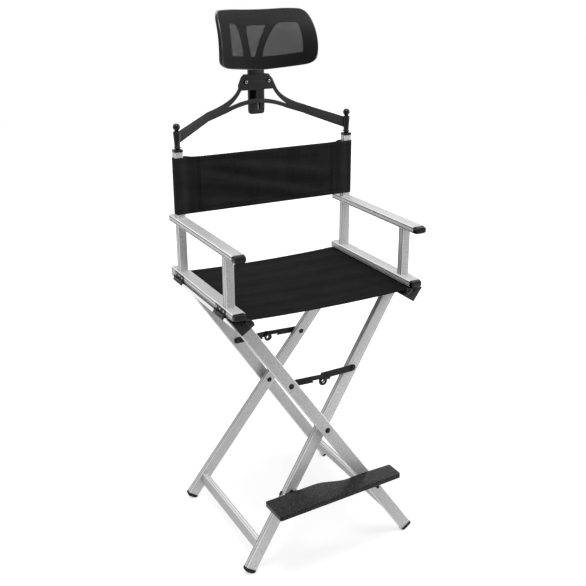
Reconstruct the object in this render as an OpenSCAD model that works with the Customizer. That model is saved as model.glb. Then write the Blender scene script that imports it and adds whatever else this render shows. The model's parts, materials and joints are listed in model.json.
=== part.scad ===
// Folding makeup chair: two scissor leg frames, two hinged arm frames, slung canvas,
// over-centre lock braces, a swing-up footboard and a lift-off headrest.
// The chair faces -Y, X runs across it and the floor is at z = 0.

/* [Leg frames] */
// Height of the scissor pivots above the floor
pivot_z = 366; // [340:1:390]
// Angle of each leg frame from upright
leg_angle = 34.4; // [33:0.1:36]
// Splay of the legs within their own frame
splay = 5.7; // [4.5:0.1:6.5]
// Distance between the outer legs at the pivots, centre to centre
outer_span = 377; // [360:1:400]
// Free gap between an outer leg and its inner neighbour
leg_gap = 9; // [8.6:0.1:11]
// Height of the centre of a leg tube's lower end
foot_z = 14; // [13:0.5:17]
// Height of the lower cross rails' centre lines
cross_z = 66.5; // [55:0.5:120]
// Height of a lower cross rail's section
cross_h = 30; // [20:1:36]
// Thickness of a lower cross rail's section
cross_t = 17; // [12:1:22]
// Thickness of a rubber foot's rim under the tube's end
foot_rim = 4.5; // [3.5:0.5:5]
// Height of a rubber foot's domed crown under its rim
foot_crown = 6; // [5:0.5:10]

/* [Tubes] */
// Wide side of the flat tube
tube_w = 34; // [31:1:37]
// Narrow side of the flat tube
tube_t = 17; // [15:0.5:19]
// Wall of every tube
wall = 1.6; // [1.2:0.1:2.4]
// Corner radius of every tube
tube_r = 2.4; // [1.8:0.1:3]

/* [Seat rails] */
// Height of the seat rails' flat top
rail_top = 731; // [715:1:745]
// Width of a seat rail's section
rail_w = 41; // [38:1:44]
// Length of a seat rail's outer side
rail_h = 44; // [42:1:48]
// Wall of the seat rail extrusion
rail_wall = 2.2; // [1.6:0.1:3]
// Height of the hollow along a seat rail's foot
rail_hollow = 8; // [5:0.5:9]
// Front face of the seat rails' end mouldings
rail_front = -210; // [-220:1:-200]
// Rear end of the seat rails
rail_rear = 210; // [200:1:220]
// Depth of a seat rail's black end moulding
plug_depth = 34; // [20:1:40]
// How far the end moulding stands proud of the rail
plug_proud = 0.5; // [0.2:0.1:1]
// Thickness of the end moulding's front wall, which closes the rod channel
plug_wall = 3; // [2:0.5:5]
// Distance of the rod channel inward from the rail's outer top edge
channel_in = 22.5; // [21:0.5:25]
// Depth of the rod channel's centre below the rail's top
channel_deep = 12; // [10:0.5:14]
// Radius of the rod channel
channel_r = 4.2; // [3.8:0.1:4.8]
// Width of the rod channel's mouth
channel_mouth = 4; // [3:0.1:5]

/* [Arm frames] */
// Seam between the seat rails and the arm frames
seam = 4; // [3.5:0.1:6]
// How far the arm tubes stand in from the seat rails' outer top edge
arm_inset = 2.8; // [2:0.1:4]
// Height of the armrests' top
armrest_top = 900.5; // [870:0.5:930]
// Front end of the armrest tubes
armrest_front = -209; // [-220:1:-195]
// Rear end of the armrest tubes
armrest_rear = 200; // [190:1:215]
// Front end of the base rail tubes
base_front = -204; // [-215:1:-190]
// Rear end of the base rail tubes
base_rear = 202; // [192:1:215]
// Length of an armrest's rounded front cap
armrest_cap = 14; // [10:1:18]
// Length of a base rail's rounded front cap
base_cap = 11; // [8:1:14]
// Length of the rounded rear caps
rear_cap = 6; // [4:1:10]
// How far the arm caps and the feet stand proud of their tubes
cap_proud = 0.4; // [0.2:0.1:1]
// Length of the spigots by which caps and feet hold in their tubes
spigot_in = 15; // [10:1:20]
// Play of a spigot in its tube, over both sides
spigot_play = 0.3; // [0.2:0.05:0.5]
// Width of the upright posts, across the chair
post_w = 23; // [20:1:26]
// Depth of the upright posts, front to back
post_d = 21; // [18:1:24]
// Front posts' centre line
front_post_y = -147.5; // [-160:0.5:-130]
// Rear posts' centre line
rear_post_y = 160; // [145:0.5:170]
// Height of the rear posts' top
post_top = 1077; // [1070:1:1100]
// Height of a post cap's rim
post_cap_h = 6; // [4:0.5:8]

/* [Arm hinges] */
// Length of a hinge leaf
leaf_len = 60; // [50:1:70]
// Thickness of a hinge leaf
leaf_t = 1.6; // [1.2:0.1:2]
// Height of the upper leaf
leaf_up = 16.5; // [14:0.5:17]
// Width of the lower leaf
leaf_down = 14; // [12:0.5:16]
// Radius of the hinge knuckles
knuckle_r = 3.1; // [2.3:0.1:3.1]
// Radius of the hinge pins
hinge_pin_r = 1.3; // [1.1:0.1:1.5]
// Front hinges' centre
front_hinge_y = -135; // [-145:1:-125]
// Rear hinges' centre
rear_hinge_y = 141; // [130:1:150]

/* [Canvas] */
// Thickness of the canvas
canvas_t = 1.5; // [1:0.1:1.8]
// Sag of the seat canvas at its middle
seat_sag = 5; // [3:0.5:12]
// Front edge of the seat canvas
seat_front = -209; // [-215:1:-200]
// Rear edge of the seat canvas
seat_rear = 202; // [195:1:208]
// Radius of the rods sewn into the seat canvas
rod_r = 2.3; // [2:0.1:2.4]
// Lower edge of the back canvas
back_low = 911; // [904:1:925]
// Upper edge of the back canvas
back_high = 1062; // [1030:0.5:1066]
// Distance from the middle of the back canvas to the stitching of its sleeves
stitch_x = 205; // [190:1:215]
// Room for a post within its canvas sleeve, at the front
sleeve_slack = 0.4; // [0.3:0.1:1]
// Room for a post within its canvas sleeve, on either side
sleeve_side = 1.2; // [1:0.1:5]

/* [Lock braces] */
// Height of the brace rivets
brace_z = 511; // [480:1:540]
// Drop of the knuckle below the brace rivets when it is locked
knuckle_drop = 11; // [8:0.5:13]
// Height of a brace link's bar
link_h = 18; // [14:0.5:20]
// Thickness of a brace link's web
link_web = 1.4; // [1:0.1:1.5]
// Depth of a brace link with its pressed rims
link_d = 2.6; // [2:0.1:2.8]
// Radius of the knuckle's ring
ring_r = 12; // [10:0.5:13]
// Radius of the hole through the knuckle
ring_hole = 5; // [3:0.5:5.5]
// Distance from the knuckle to the step in the left link's lower edge
link_step = 29; // [24:1:36]

/* [Rivets] */
// Radius of the pivot and brace rivets' heads
head_r = 7.5; // [6.5:0.5:9]
// Height of the pivot and brace rivets' heads
head_h = 3.6; // [2:0.1:5]
// Radius of the rivets' shafts
shaft_r = 4; // [3:0.25:5]
// Radial running clearance of every pin and rivet
running = 0.08; // [0.05:0.01:0.1]
// Clearance between faces that turn past each other
clear = 0.3; // [0.25:0.05:0.5]

/* [Footboard] */
// Height of the footboard's pivot
board_z = 208.4; // [190:0.2:225]
// Thickness of the footboard
board_t = 13; // [10:0.5:16]
// Distance of the footboard's front edge from the leg that carries it
board_front = 111.2; // [100:0.2:125]
// Distance of the deep shoulder's rear edge from the leg that carries it
deep_shoulder = 20; // [16:0.5:24]
// Distance of the shallow shoulder's rear edge from the leg that carries it
shallow_shoulder = 46.5; // [46:0.1:50]
// Reach of the footboard to the left of its pivot
board_left = 93; // [80:1:100]
// Reach of the footboard to the right of its pivot
board_right = 294; // [270:1:300]
// How far the footboard's ends lean to the left at the front
board_lean = 9; // [4:0.5:12]
// Yaw of the footboard on its bracket
board_yaw = 1.7; // [1:0.1:2.2]
// Corner radius of the footboard
board_r = 5; // [2:0.5:8]
// Skin of the hollow moulded footboard
board_skin = 3; // [2:0.1:4]
// Thickness of the ribs under the footboard
board_rib = 2.4; // [1.6:0.1:4]
// Distance between the ribs under the footboard
rib_pitch = 30; // [20:1:40]
// Half width of the footboard's solid strips over its bracket and over the peg
board_strip = 22; // [20:1:26]
// Thickness of the footboard's bracket
bracket_t = 3; // [2:0.1:4]
// Width of the footboard's bracket
bracket_w = 40; // [30:1:46]
// Radius of the peg under the footboard
peg_r = 4.5; // [3.5:0.1:5.5]
// Length of the peg in front of its leg
peg_len = 66; // [50:1:70]

/* [Headrest bracket] */
// Front face of the bracket's middle
plate_y = 206; // [200:0.5:212]
// Thickness of the bracket's plate
plate_t = 4; // [3:0.1:5]
// Height of the bracket's top
plate_top = 1255; // [1250:1:1262]
// Distance of the bends from the middle
bend_x = 150; // [140:1:160]
// Depth of the arms' upper edge below the bracket's top, at the bends
bend_drop = 92; // [85:1:100]
// Height of the arms at the bends
bend_h = 25; // [22:1:28]
// Depth of the arms' upper edge below the bracket's top, at the finials
end_drop = 128; // [120:1:135]
// Height of the arms at the finials
end_h = 30; // [25:1:32]
// Depth of the window's upper edge below the bracket's top
window_drop = 41; // [39:1:44]
// Depth of the arch's upper edge below the bracket's top
arch_drop = 65; // [60:1:68]
// Height of the strip over the arch
arch_h = 12; // [10:0.5:14]
// Half distance between the clamp screws
clamp_x = 34; // [32:0.5:36]
// Height of the clamp screws
clamp_z = 1235.5; // [1230:0.5:1240]
// Radius of a finial's ball
ball_r = 9.8; // [8:0.1:11]
// Height of a finial's ball centre above the post cap
ball_rise = 58; // [54:0.5:62]
// Length of the finial's spigot
spigot_len = 22; // [15:1:30]
// Radius of the finial's spigot
spigot_r = 5; // [4:0.1:6]

/* [Headrest] */
// Width of the height slider
slider_w = 46; // [40:0.5:48]
// Thickness of the height slider
slider_t = 10; // [8:0.5:12]
// Lower end of the height slider
slider_low = 1148; // [1140:1:1165]
// Height of the tilt pin
tilt_z = 1288; // [1285:0.5:1290]
// Depth of the tilt pin behind the bracket's front face
tilt_back = 24; // [23:0.5:25]
// Radius of the tilt pin
tilt_pin_r = 3; // [2.5:0.1:3.5]
// Half width of the pad
pad_half = 139; // [130:1:145]
// Half width of the pad at its top
pad_top_half = 128; // [120:1:135]
// Lowest point of the pad
pad_low = 1271; // [1271:0.5:1275]
// Highest point of the pad
pad_high = 1425; // [1415:1:1435]
// Radius of the pad's concave sweep in plan
pad_sweep = 284; // [260:2:320]
// Radius of the pad's bulge in side view
pad_bulge = 120; // [112:1:135]
// Front of the pad's bulge at its middle
pad_front = 155; // [152:0.5:160]
// Height of the front of the pad's bulge
bulge_z = 1325; // [1320:1:1330]
// Thickness of the mesh skin
mesh_t = 2; // [1.5:0.1:2.5]
// Width of the pad's frame rim
rim_w = 22; // [18:1:26]
// Depth of the pad's frame rim
rim_d = 10; // [8:0.5:14]

/* [Hidden] */
$fn = 48;
facets = 24;
fine = 0.01;
outer_y = outer_span / 2;
inner_y = outer_y - tube_t - leg_gap;
foot_s = (pivot_z - foot_z) / cos(leg_angle);
cross_s = (pivot_z - cross_z) / cos(leg_angle);
brace_s = (brace_z - pivot_z) / cos(leg_angle);
brace_l = brace_s / cos(splay);
board_l = (pivot_z - board_z) / cos(leg_angle) / cos(splay);
foot_l = foot_s / cos(splay);
rail_out_s = (rail_top - pivot_z + rail_w / 2 * sin(leg_angle)) / cos(leg_angle);
rail_in_s = (rail_top - pivot_z - rail_w / 2 * sin(leg_angle)) / cos(leg_angle);
rail_s = rail_out_s - rail_h;
leg_top_l = rail_s / cos(splay) + tube_w;
rail_edge_x = rail_w / 2 * cos(leg_angle) + rail_out_s * sin(leg_angle);
rail_inner_x = -rail_w / 2 * cos(leg_angle) + rail_in_s * sin(leg_angle);
channel_x = rail_edge_x - channel_in;
channel_z = rail_top - channel_deep;
arm_out = rail_edge_x - arm_inset;
arm_x = arm_out - tube_w / 2;
arm_low = rail_top + seam;
base_mid = arm_low + tube_t / 2;
armrest_mid = armrest_top - tube_t / 2;
hinge_x = arm_out + knuckle_r + 0.8;
hinge_z = arm_low - 0.8;
knuckle_len = leaf_len / 3;
bead_front = rail_front + plug_wall + 0.5;
link_reach = brace_s * sin(leg_angle);
post_cap_top = post_top + post_cap_h;
finial_base = post_cap_top + clear;
ball_z = post_cap_top + ball_rise;
slider_front = plate_y + plate_t + clear;
slider_back = slider_front + slider_t;
tilt_y = plate_y + tilt_back;
pad_near = pad_front - pad_bulge / 2;
pad_far = pad_front + pad_bulge * 4 / 3;
board_up = [
    sin(leg_angle) * cos(leg_angle) * (cos(splay) - 1),
    cos(leg_angle) * sin(splay),
    pow(sin(leg_angle), 2) + pow(cos(leg_angle), 2) * cos(splay)
];
board_origin = leg_point(1, inner_y, -board_l, -tube_t / 2);
peg_base = leg_point(-1, outer_y, 0, -tube_t / 2);
peg_run = leg_point(-1, outer_y, 1, -tube_t / 2) - peg_base;
peg_drop = board_t / 2 + clear + peg_r;
peg_l = (-peg_drop - board_up * (peg_base - board_origin)) / (board_up * peg_run);
peg_x = peg_base[0] + peg_l * peg_run[0] - board_origin[0];
bolt_head_r = board_t / 2 - 2 * clear;
board_corner = [board_r - board_left - board_lean, board_r - board_front];
board_corner_y = board_corner[0] * sin(board_yaw) + board_corner[1] * cos(board_yaw);
front_y = board_origin[1] + board_corner[0] * sin(leg_angle) * sin(splay)
    + board_corner_y * cos(splay) - board_t / 2 * board_up[1] - board_r;
rear_y = outer_y + foot_s * tan(splay) + (tube_t / 2 + cap_proud) / cos(splay)
    + foot_rim * sin(splay);
middle_y = (front_y + rear_y) / 2;

// A point of a front leg, l up from the pivot along it and v behind its centre line
function leg_point(side, y0, l, v) =
    let (s = l * cos(splay) - v * sin(splay))
    [side * s * sin(leg_angle), l * sin(splay) + v * cos(splay) - y0,
     pivot_z + s * cos(leg_angle)];
// Places of a world point (x, z) across and along a leg frame
function across(x, z) = x * cos(leg_angle) - (z - pivot_z) * sin(leg_angle);
function along(x, z) = x * sin(leg_angle) + (z - pivot_z) * cos(leg_angle);
// Points of a quadratic curve from a to b that is drawn toward c
function curve(a, c, b, n = 10) =
    [for (i = [0:n]) let (t = i / n) pow(1 - t, 2) * a + 2 * t * (1 - t) * c + t * t * b];
// The same points with the other sign of x, in reverse order
function mirrored(p) = [for (i = [len(p) - 1:-1:0]) [-p[i][0], p[i][1]]];

// Frames and placing

// The whole chair, with the origin on the floor in the middle of its footprint
module placed() {
    translate([0, -middle_y, 0]) children();
}

// Left and right pieces: side is -1 on the left and 1 on the right
module on_side(side) {
    mirror([side < 0 ? 1 : 0, 0, 0]) children();
}

// Front and rear pieces: end is -1 at the front and 1 at the rear
module on_end(end) {
    mirror([0, end < 0 ? 0 : 1, 0]) children();
}

// A leg frame's own axes: X across it, Z along it, origin on the pivot axis.
// The right frame leans to the right at its top, the left frame mirrors it.
module in_frame(side) {
    on_side(side) translate([0, 0, pivot_z]) rotate([0, leg_angle, 0]) children();
}

// A front leg's own axes in its frame: Z along the leg, Y through its narrow side
module on_leg(y0) {
    translate([0, -y0, 0]) rotate([-splay, 0, 0]) children();
}

// Pieces extruded front to back, drawn in X and Z
module lengthwise(y0, y1) {
    translate([0, y1, 0]) rotate([90, 0, 0]) linear_extrude(y1 - y0) children();
}

// Shared shapes

module round_rect(w, h, r) {
    square([w - 2 * r, h], center = true);
    square([w, h - 2 * r], center = true);
    for (x = [-1, 1], y = [-1, 1])
        translate([x * (w / 2 - r), y * (h / 2 - r)]) circle(r, $fn = 24);
}

module tube_section(w, h) {
    difference() {
        round_rect(w, h, tube_r);
        square([w - 2 * wall, h - 2 * wall], center = true);
    }
}

// A domed head that stands on z = 0
module dome(r, h) {
    bulge = (r * r + h * h) / (2 * h);
    rotate_extrude() intersection() {
        translate([0, h - bulge]) circle(bulge, $fn = 96);
        square([r, h]);
    }
}

// Leg frames

module leg_solid(y0) {
    on_leg(y0) translate([0, 0, -foot_l])
        linear_extrude(foot_l + leg_top_l) square([tube_w, tube_t], center = true);
}

module leg(side, end, y0, peg = false, bolt = false) {
    on_end(end) in_frame(side) difference() {
        on_leg(y0) translate([0, 0, -foot_l])
            linear_extrude(foot_l + leg_top_l) tube_section(tube_w, tube_t);
        translate([-tube_w, -outer_span, rail_s]) cube([2 * tube_w, 2 * outer_span, 3 * tube_w]);
        translate([0, tube_t - y0, 0]) rotate([90, 0, 0]) cylinder(r = shaft_r + running, h = 2 * tube_t);
        on_leg(y0) translate([0, tube_t, brace_l]) rotate([90, 0, 0])
            cylinder(r = shaft_r, h = 2 * tube_t);
        if (peg) on_leg(y0) translate([0, 0, peg_l]) rotate([90, 0, 0])
            cylinder(r = peg_r, h = tube_t);
        if (bolt) on_leg(y0) translate([0, tube_t, -board_l]) rotate([90, 0, 0])
            cylinder(r = shaft_r, h = 2 * tube_t);
    }
}

module cross_rail(side, y0) {
    half = y0 + cross_s * tan(splay);
    in_frame(side) difference() {
        translate([0, half, -cross_s]) rotate([90, 0, 0])
            linear_extrude(2 * half) tube_section(cross_t, cross_h);
        for (end = [-1, 1]) on_end(end) leg_solid(y0);
    }
}

module rail_outline(grow = 0) {
    polygon([
        [-rail_w / 2 - grow, rail_s - grow], [rail_w / 2 + grow, rail_s - grow],
        [rail_w / 2 + grow, rail_out_s + grow * tan(leg_angle)],
        [-rail_w / 2 - grow, rail_in_s - grow * tan(leg_angle)]
    ]);
}

module rail_section(grow = 0, hollow = true) {
    difference() {
        rail_outline(grow);
        translate([across(channel_x, channel_z), along(channel_x, channel_z)]) {
            circle(channel_r);
            rotate(leg_angle) translate([-channel_mouth / 2, 0])
                square([channel_mouth, 2 * channel_deep]);
        }
        if (hollow) rail_hollow_section(0);
    }
}

module rail_hollow_section(shrink) {
    translate([-rail_w / 2 + rail_wall + shrink, rail_s + rail_wall + shrink])
        square([rail_w - 2 * rail_wall - 2 * shrink, rail_hollow - 2 * shrink]);
}

module seat_rail(side) {
    in_frame(side) lengthwise(rail_front + plug_depth, rail_rear) rail_section();
}

module rail_plug(side) {
    in_frame(side) {
        lengthwise(rail_front, rail_front + plug_wall) rail_outline(plug_proud);
        lengthwise(rail_front + plug_wall, rail_front + plug_depth)
            rail_section(plug_proud, false);
        lengthwise(rail_front + plug_depth, rail_front + plug_depth + spigot_in)
            rail_hollow_section(spigot_play / 2);
    }
}

// A rubber foot: a rim over the tube's end, a domed crown and a spigot in the tube,
// cut flat where it meets the floor
module foot_caps(side, y0) {
    difference() {
        for (end = [-1, 1]) on_end(end) in_frame(side) on_leg(y0) translate([0, 0, -foot_l]) {
            hull() {
                translate([0, 0, -foot_rim]) linear_extrude(foot_rim)
                    round_rect(tube_w + 2 * cap_proud, tube_t + 2 * cap_proud, 3);
                translate([0, 0, -foot_rim - foot_crown]) linear_extrude(fine)
                    round_rect(tube_w - 9, tube_t - 8, 3);
            }
            translate([0, 0, spigot_in / 2])
                cube([tube_w - 2 * wall - spigot_play, tube_t - 2 * wall - spigot_play, spigot_in],
                    center = true);
        }
        translate([-outer_span, -outer_span, -tube_w]) cube([2 * outer_span, 2 * outer_span, tube_w]);
    }
}

// The scissor rivets: seated on the outer legs, with a spacer in the gap
// and a flat head behind the inner legs
module pivot_rivets() {
    tilt = head_r * tan(splay);
    half = tube_t / 2 / cos(splay);
    inner_front = inner_y + half + tilt + clear;
    inner_back = inner_y - half - tilt - clear;
    for (end = [-1, 1]) on_end(end) translate([0, 0, pivot_z]) {
        difference() {
            union() {
                translate([0, -outer_y - half - 0.2, 0]) rotate([90, 0, 0]) {
                    dome(head_r, head_h);
                    translate([0, 0, -3]) cylinder(r = head_r, h = 3.2);
                }
                translate([0, -inner_front, 0]) rotate([90, 0, 0])
                    cylinder(r = head_r, h = leg_gap);
            }
            translate([0, 0, -pivot_z]) in_frame(-1) leg_solid(outer_y);
        }
        translate([0, -inner_back, 0]) rotate([90, 0, 0])
            cylinder(r = shaft_r, h = outer_y + half - inner_back);
        translate([0, -inner_back, 0]) rotate([-90, 0, 0]) dome(head_r, head_h);
    }
}

// Brace rivets of the outer legs: domed head in front, link behind
module outer_brace_rivets() {
    link_side = tube_t / 2 + 0.2 + link_d + 0.1;
    for (end = [-1, 1]) on_end(end) in_frame(-1) on_leg(outer_y) translate([0, 0, brace_l]) {
        translate([0, -tube_t / 2, 0]) rotate([90, 0, 0]) dome(head_r, head_h);
        translate([0, link_side, 0]) rotate([90, 0, 0]) cylinder(r = shaft_r, h = link_side + tube_t / 2);
        translate([0, link_side, 0]) rotate([-90, 0, 0]) cylinder(r = head_r - 1, h = 1.2);
    }
}

// Brace rivets of the inner legs: link in front, domed head behind
module inner_brace_rivets() {
    link_side = tube_t / 2 + 0.2 + link_d + 0.1;
    for (end = [-1, 1]) on_end(end) in_frame(1) on_leg(inner_y) translate([0, 0, brace_l]) {
        translate([0, tube_t / 2, 0]) rotate([-90, 0, 0]) dome(head_r, head_h);
        translate([0, tube_t / 2, 0]) rotate([90, 0, 0]) cylinder(r = shaft_r, h = link_side + tube_t / 2);
        translate([0, -link_side, 0]) rotate([90, 0, 0]) cylinder(r = head_r - 1, h = 1.2);
    }
}

// Arm hinges

module hinge_places(side) {
    on_side(side) for (y = [front_hinge_y, rear_hinge_y])
        translate([hinge_x, y, hinge_z]) children();
}

module knuckle(y0, y1, bore) {
    translate([0, y1, 0]) rotate([90, 0, 0]) difference() {
        cylinder(r = knuckle_r, h = y1 - y0, $fn = 32);
        translate([0, 0, -1]) cylinder(r = bore, h = y1 - y0 + 2, $fn = 32);
    }
}

// Upper leaves, on the outer faces of the arm tubes
module arm_hinge_leaves(side) {
    inner = arm_out - hinge_x;
    hinge_places(side) {
        difference() {
            translate([inner, -leaf_len / 2, 0]) cube([leaf_t, leaf_len, leaf_up]);
            translate([-knuckle_r - 3, -knuckle_len / 2 - clear, -1])
                cube([9, knuckle_len + 2 * clear, knuckle_r + 1.6]);
            rotate([90, 0, 0]) cylinder(r = hinge_pin_r, h = leaf_len + 2, center = true, $fn = 32);
        }
        knuckle(-leaf_len / 2, -knuckle_len / 2 - clear, hinge_pin_r);
        knuckle(knuckle_len / 2 + clear, leaf_len / 2, hinge_pin_r);
    }
}

// Lower leaves, on the sloped outer faces of the seat rails
module rail_hinge_leaves(side) {
    face = rail_w / 2 - across(hinge_x, hinge_z);
    hinge_places(side) {
        rotate([0, leg_angle, 0]) difference() {
            translate([face, -leaf_len / 2, -leaf_down]) cube([leaf_t, leaf_len, leaf_down]);
            for (end = [-1, 1])
                translate([0, end * (knuckle_len + leaf_len) / 2, 0])
                    cube([9, leaf_len, 2 * knuckle_r + 1.2], center = true);
            rotate([90, 0, 0]) cylinder(r = hinge_pin_r + running, h = leaf_len + 2, center = true,
                $fn = 32);
        }
        knuckle(-knuckle_len / 2, knuckle_len / 2, hinge_pin_r + running);
    }
}

module hinge_pins(side) {
    hinge_places(side) rotate([90, 0, 0])
        cylinder(r = hinge_pin_r, h = leaf_len, center = true, $fn = 32);
}

module hinge_screws(side) {
    hinge_places(side) for (y = [-0.36, 0, 0.36])
        translate([arm_out - hinge_x + leaf_t, y * leaf_len, leaf_up * 0.62])
            rotate([0, 90, 0]) dome(2.6, 1.2);
}

// Arm frames

module arm_tube(side, y0, y1, mid) {
    on_side(side) translate([arm_x, 0, mid]) lengthwise(y0, y1) tube_section(tube_w, tube_t);
}

module armrest(side) {
    difference() {
        arm_tube(side, armrest_front, armrest_rear, armrest_mid);
        on_side(side) translate([arm_x, rear_post_y, armrest_mid])
            cube([post_w, post_d, tube_t + 2], center = true);
    }
}

module post(side, y, z0, z1) {
    on_side(side) translate([arm_x, y, z0]) linear_extrude(z1 - z0) tube_section(post_w, post_d);
}

// A rounded end cap, drawn toward -Y from the tube's end
module end_cap(len) {
    round_r = min(len, tube_t / 2) - 1;
    intersection() {
        hull() {
            for (x = [-1, 1]) translate([x * (tube_w / 2 + cap_proud - round_r), round_r - len, 0])
                sphere(round_r, $fn = 20);
            translate([0, -0.5, 0])
                cube([tube_w + 2 * cap_proud, 1, tube_t + 2 * cap_proud], center = true);
            translate([0, 1 - len * 0.6, 0]) cube([tube_w - 1, 1, tube_t - 0.4], center = true);
        }
        translate([0, -len, 0]) cube([2 * tube_w, 2 * len, 2 * tube_w], center = true);
    }
}

module cap_spigot(len) {
    translate([0, len / 2, 0])
        cube([tube_w - 2 * wall - spigot_play, len, tube_t - 2 * wall - spigot_play], center = true);
}

module front_caps(side) {
    on_side(side) {
        translate([arm_x, armrest_front, armrest_mid]) {
            end_cap(armrest_cap);
            cap_spigot(spigot_in);
        }
        translate([arm_x, base_front, base_mid]) {
            end_cap(base_cap);
            cap_spigot(spigot_in);
        }
    }
}

module rear_caps(side) {
    on_side(side) {
        translate([arm_x, armrest_rear, armrest_mid]) mirror([0, 1, 0]) {
            end_cap(rear_cap);
            cap_spigot(spigot_in);
        }
        translate([arm_x, base_rear, base_mid]) mirror([0, 1, 0]) {
            end_cap(rear_cap);
            cap_spigot(spigot_in);
        }
    }
}

// A post cap with the socket for a finial
module post_cap(side) {
    plug = spigot_len + 3;
    on_side(side) translate([arm_x, rear_post_y, post_top]) difference() {
        union() {
            linear_extrude(post_cap_h) round_rect(post_w + 1.4, post_d + 1.4, 3);
            translate([0, 0, -plug]) linear_extrude(plug)
                square([post_w - 2 * wall - spigot_play, post_d - 2 * wall - spigot_play], center = true);
        }
        translate([0, 0, post_cap_h - spigot_len - 1]) cylinder(r = spigot_r + 0.15, h = spigot_len + 2);
    }
}

// Canvas

// The seat canvas: slung between the rails, with a bead round each rod
module seat_canvas() {
    low = rail_top + clear;
    half = rail_inner_x;
    function sag(x) = abs(x) < half ? seat_sag * (1 - pow(x / half, 2)) : 0;
    xs = concat([-channel_x - canvas_t / 2],
        [for (i = [0:facets]) half * (2 * i / facets - 1)], [channel_x + canvas_t / 2]);
    last = len(xs) - 1;
    color("#222426") {
        lengthwise(seat_front, seat_rear) polygon(concat([for (x = xs) [x, low - sag(x)]],
            [for (i = [last:-1:0]) [xs[i], low + canvas_t - sag(xs[i])]]));
        lengthwise(bead_front, seat_rear) for (side = [-1, 1]) translate([side * channel_x, 0]) {
            translate([-canvas_t / 2, channel_z + rod_r + 0.3])
                square([canvas_t, low + canvas_t - channel_z - rod_r - 0.3]);
            translate([0, channel_z]) difference() {
                circle(rod_r + 0.2 + canvas_t * 0.8);
                circle(rod_r + 0.1);
            }
        }
    }
}

module canvas_rod(side) {
    on_side(side) translate([channel_x, seat_rear, channel_z]) rotate([90, 0, 0])
        cylinder(r = rod_r, h = seat_rear - bead_front, $fn = 24);
}

// The back canvas: a panel in front of the posts, sewn back on itself as two sleeves
module back_canvas() {
    front = rear_post_y - post_d / 2 - sleeve_slack - canvas_t;
    rear = rear_post_y + post_d / 2 + sleeve_slack + canvas_t;
    outer = arm_x + post_w / 2 + sleeve_side + canvas_t;
    inner = arm_x - post_w / 2 - sleeve_side;
    color("#1f2022") translate([0, 0, back_low]) linear_extrude(back_high - back_low) {
        translate([-stitch_x, front]) square([2 * stitch_x, canvas_t]);
        for (side = [-1, 1]) mirror([side < 0 ? 1 : 0, 0]) difference() {
            polygon([
                [stitch_x - 6, front], [outer, front], [outer, rear], [inner, rear],
                [stitch_x, front + 2 * canvas_t], [stitch_x - 6, front + 2 * canvas_t]
            ]);
            polygon([
                [stitch_x + 9, front + canvas_t], [outer - canvas_t, front + canvas_t],
                [outer - canvas_t, rear - canvas_t], [inner + 1, rear - canvas_t]
            ]);
        }
    }
}

// Lock braces, drawn in the upright plane of a leg's face: origin at the rivet,
// X toward the middle of the chair, Y toward the link's rims

module link_outline(reach, ring, step) {
    translate([0, -link_h / 2]) square([reach - step, link_h]);
    circle(link_h / 2);
    translate([reach - step - 1, 5 - link_h / 2]) square([step + ring * 0.4, link_h - 5]);
    translate([reach, -knuckle_drop]) circle(ring);
    translate([reach - ring * 0.7, -knuckle_drop]) square([ring * 1.4, knuckle_drop]);
}

module brace_link(reach, ring, step, tab) {
    rim = 2.2;
    rotate([90, 0, 0]) difference() {
        union() {
            linear_extrude(link_web) link_outline(reach, ring, step);
            translate([0, link_h / 2 - rim, 0]) cube([reach, rim, link_d]);
            translate([0, -link_h / 2, 0]) cube([reach - step, rim, link_d]);
            translate([0, 1, 0]) cube([reach - step, 1.6, link_d]);
            translate([reach, -knuckle_drop, 0]) cylinder(r = ring_hole + 3, h = link_d);
            if (tab) translate([reach - 26, -14, 0]) cube([11, 9, link_d]);
        }
        translate([0, 0, -1]) cylinder(r = shaft_r + running, h = link_d + 2);
        translate([reach, -knuckle_drop, -1]) cylinder(r = ring_hole, h = link_d + 2);
    }
}

module stepped_link() {
    brace_link(link_reach, ring_r, link_step, false);
}

module tabbed_link() {
    brace_link(link_reach, ring_r - 3, fine, true);
}

// Left links turn on the outer legs' inner faces. The rear pair is the front pair
// turned round, so the stepped link is the left one in front and the right one behind.
module left_link(end) {
    color("#1b1b1c") on_end(end) in_frame(-1) on_leg(outer_y)
        translate([0, tube_t / 2 + 0.2, brace_l]) rotate([0, -leg_angle, 0])
            mirror([1, 0, 0]) translate([0, link_d, 0]) if (end < 0) stepped_link();
                else tabbed_link();
}

// Right links turn on the inner legs' outer faces
module right_link(end) {
    color("#1b1b1c") on_end(end) in_frame(1) on_leg(inner_y)
        translate([0, -tube_t / 2 - 0.2, brace_l]) rotate([0, -leg_angle, 0])
            mirror([1, 0, 0]) if (end < 0) tabbed_link();
                else stepped_link();
}

// Footboard, drawn upright on the face of the leg that carries it:
// origin at the pivot on the face, Y into the leg

module on_board_leg() {
    in_frame(1) on_leg(inner_y) translate([0, -tube_t / 2, -board_l])
        rotate([0, -leg_angle, 0]) children();
}

function board_rear(x) =
    let (start = 62, finish = 152, rise = 186)
    x < start ? -deep_shoulder
    : x < finish ? -deep_shoulder
        - (shallow_shoulder + 2 - deep_shoulder) * (1 - cos(180 * (x - start) / (finish - start))) / 2
    : x < rise ? -shallow_shoulder - 2 * (1 + cos(180 * (x - finish) / (rise - finish))) / 2
    : -shallow_shoulder - 0.05 * (x - rise);

module board_outline() {
    step = (board_right + board_left) / 64;
    offset(r = board_r, $fn = 24) offset(delta = -board_r)
        polygon(concat(
            [for (i = [0:64]) let (x = i * step - board_left) [x, board_rear(x)]],
            [[board_right - board_lean, -board_front], [-board_left - board_lean, -board_front]]));
}

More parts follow.
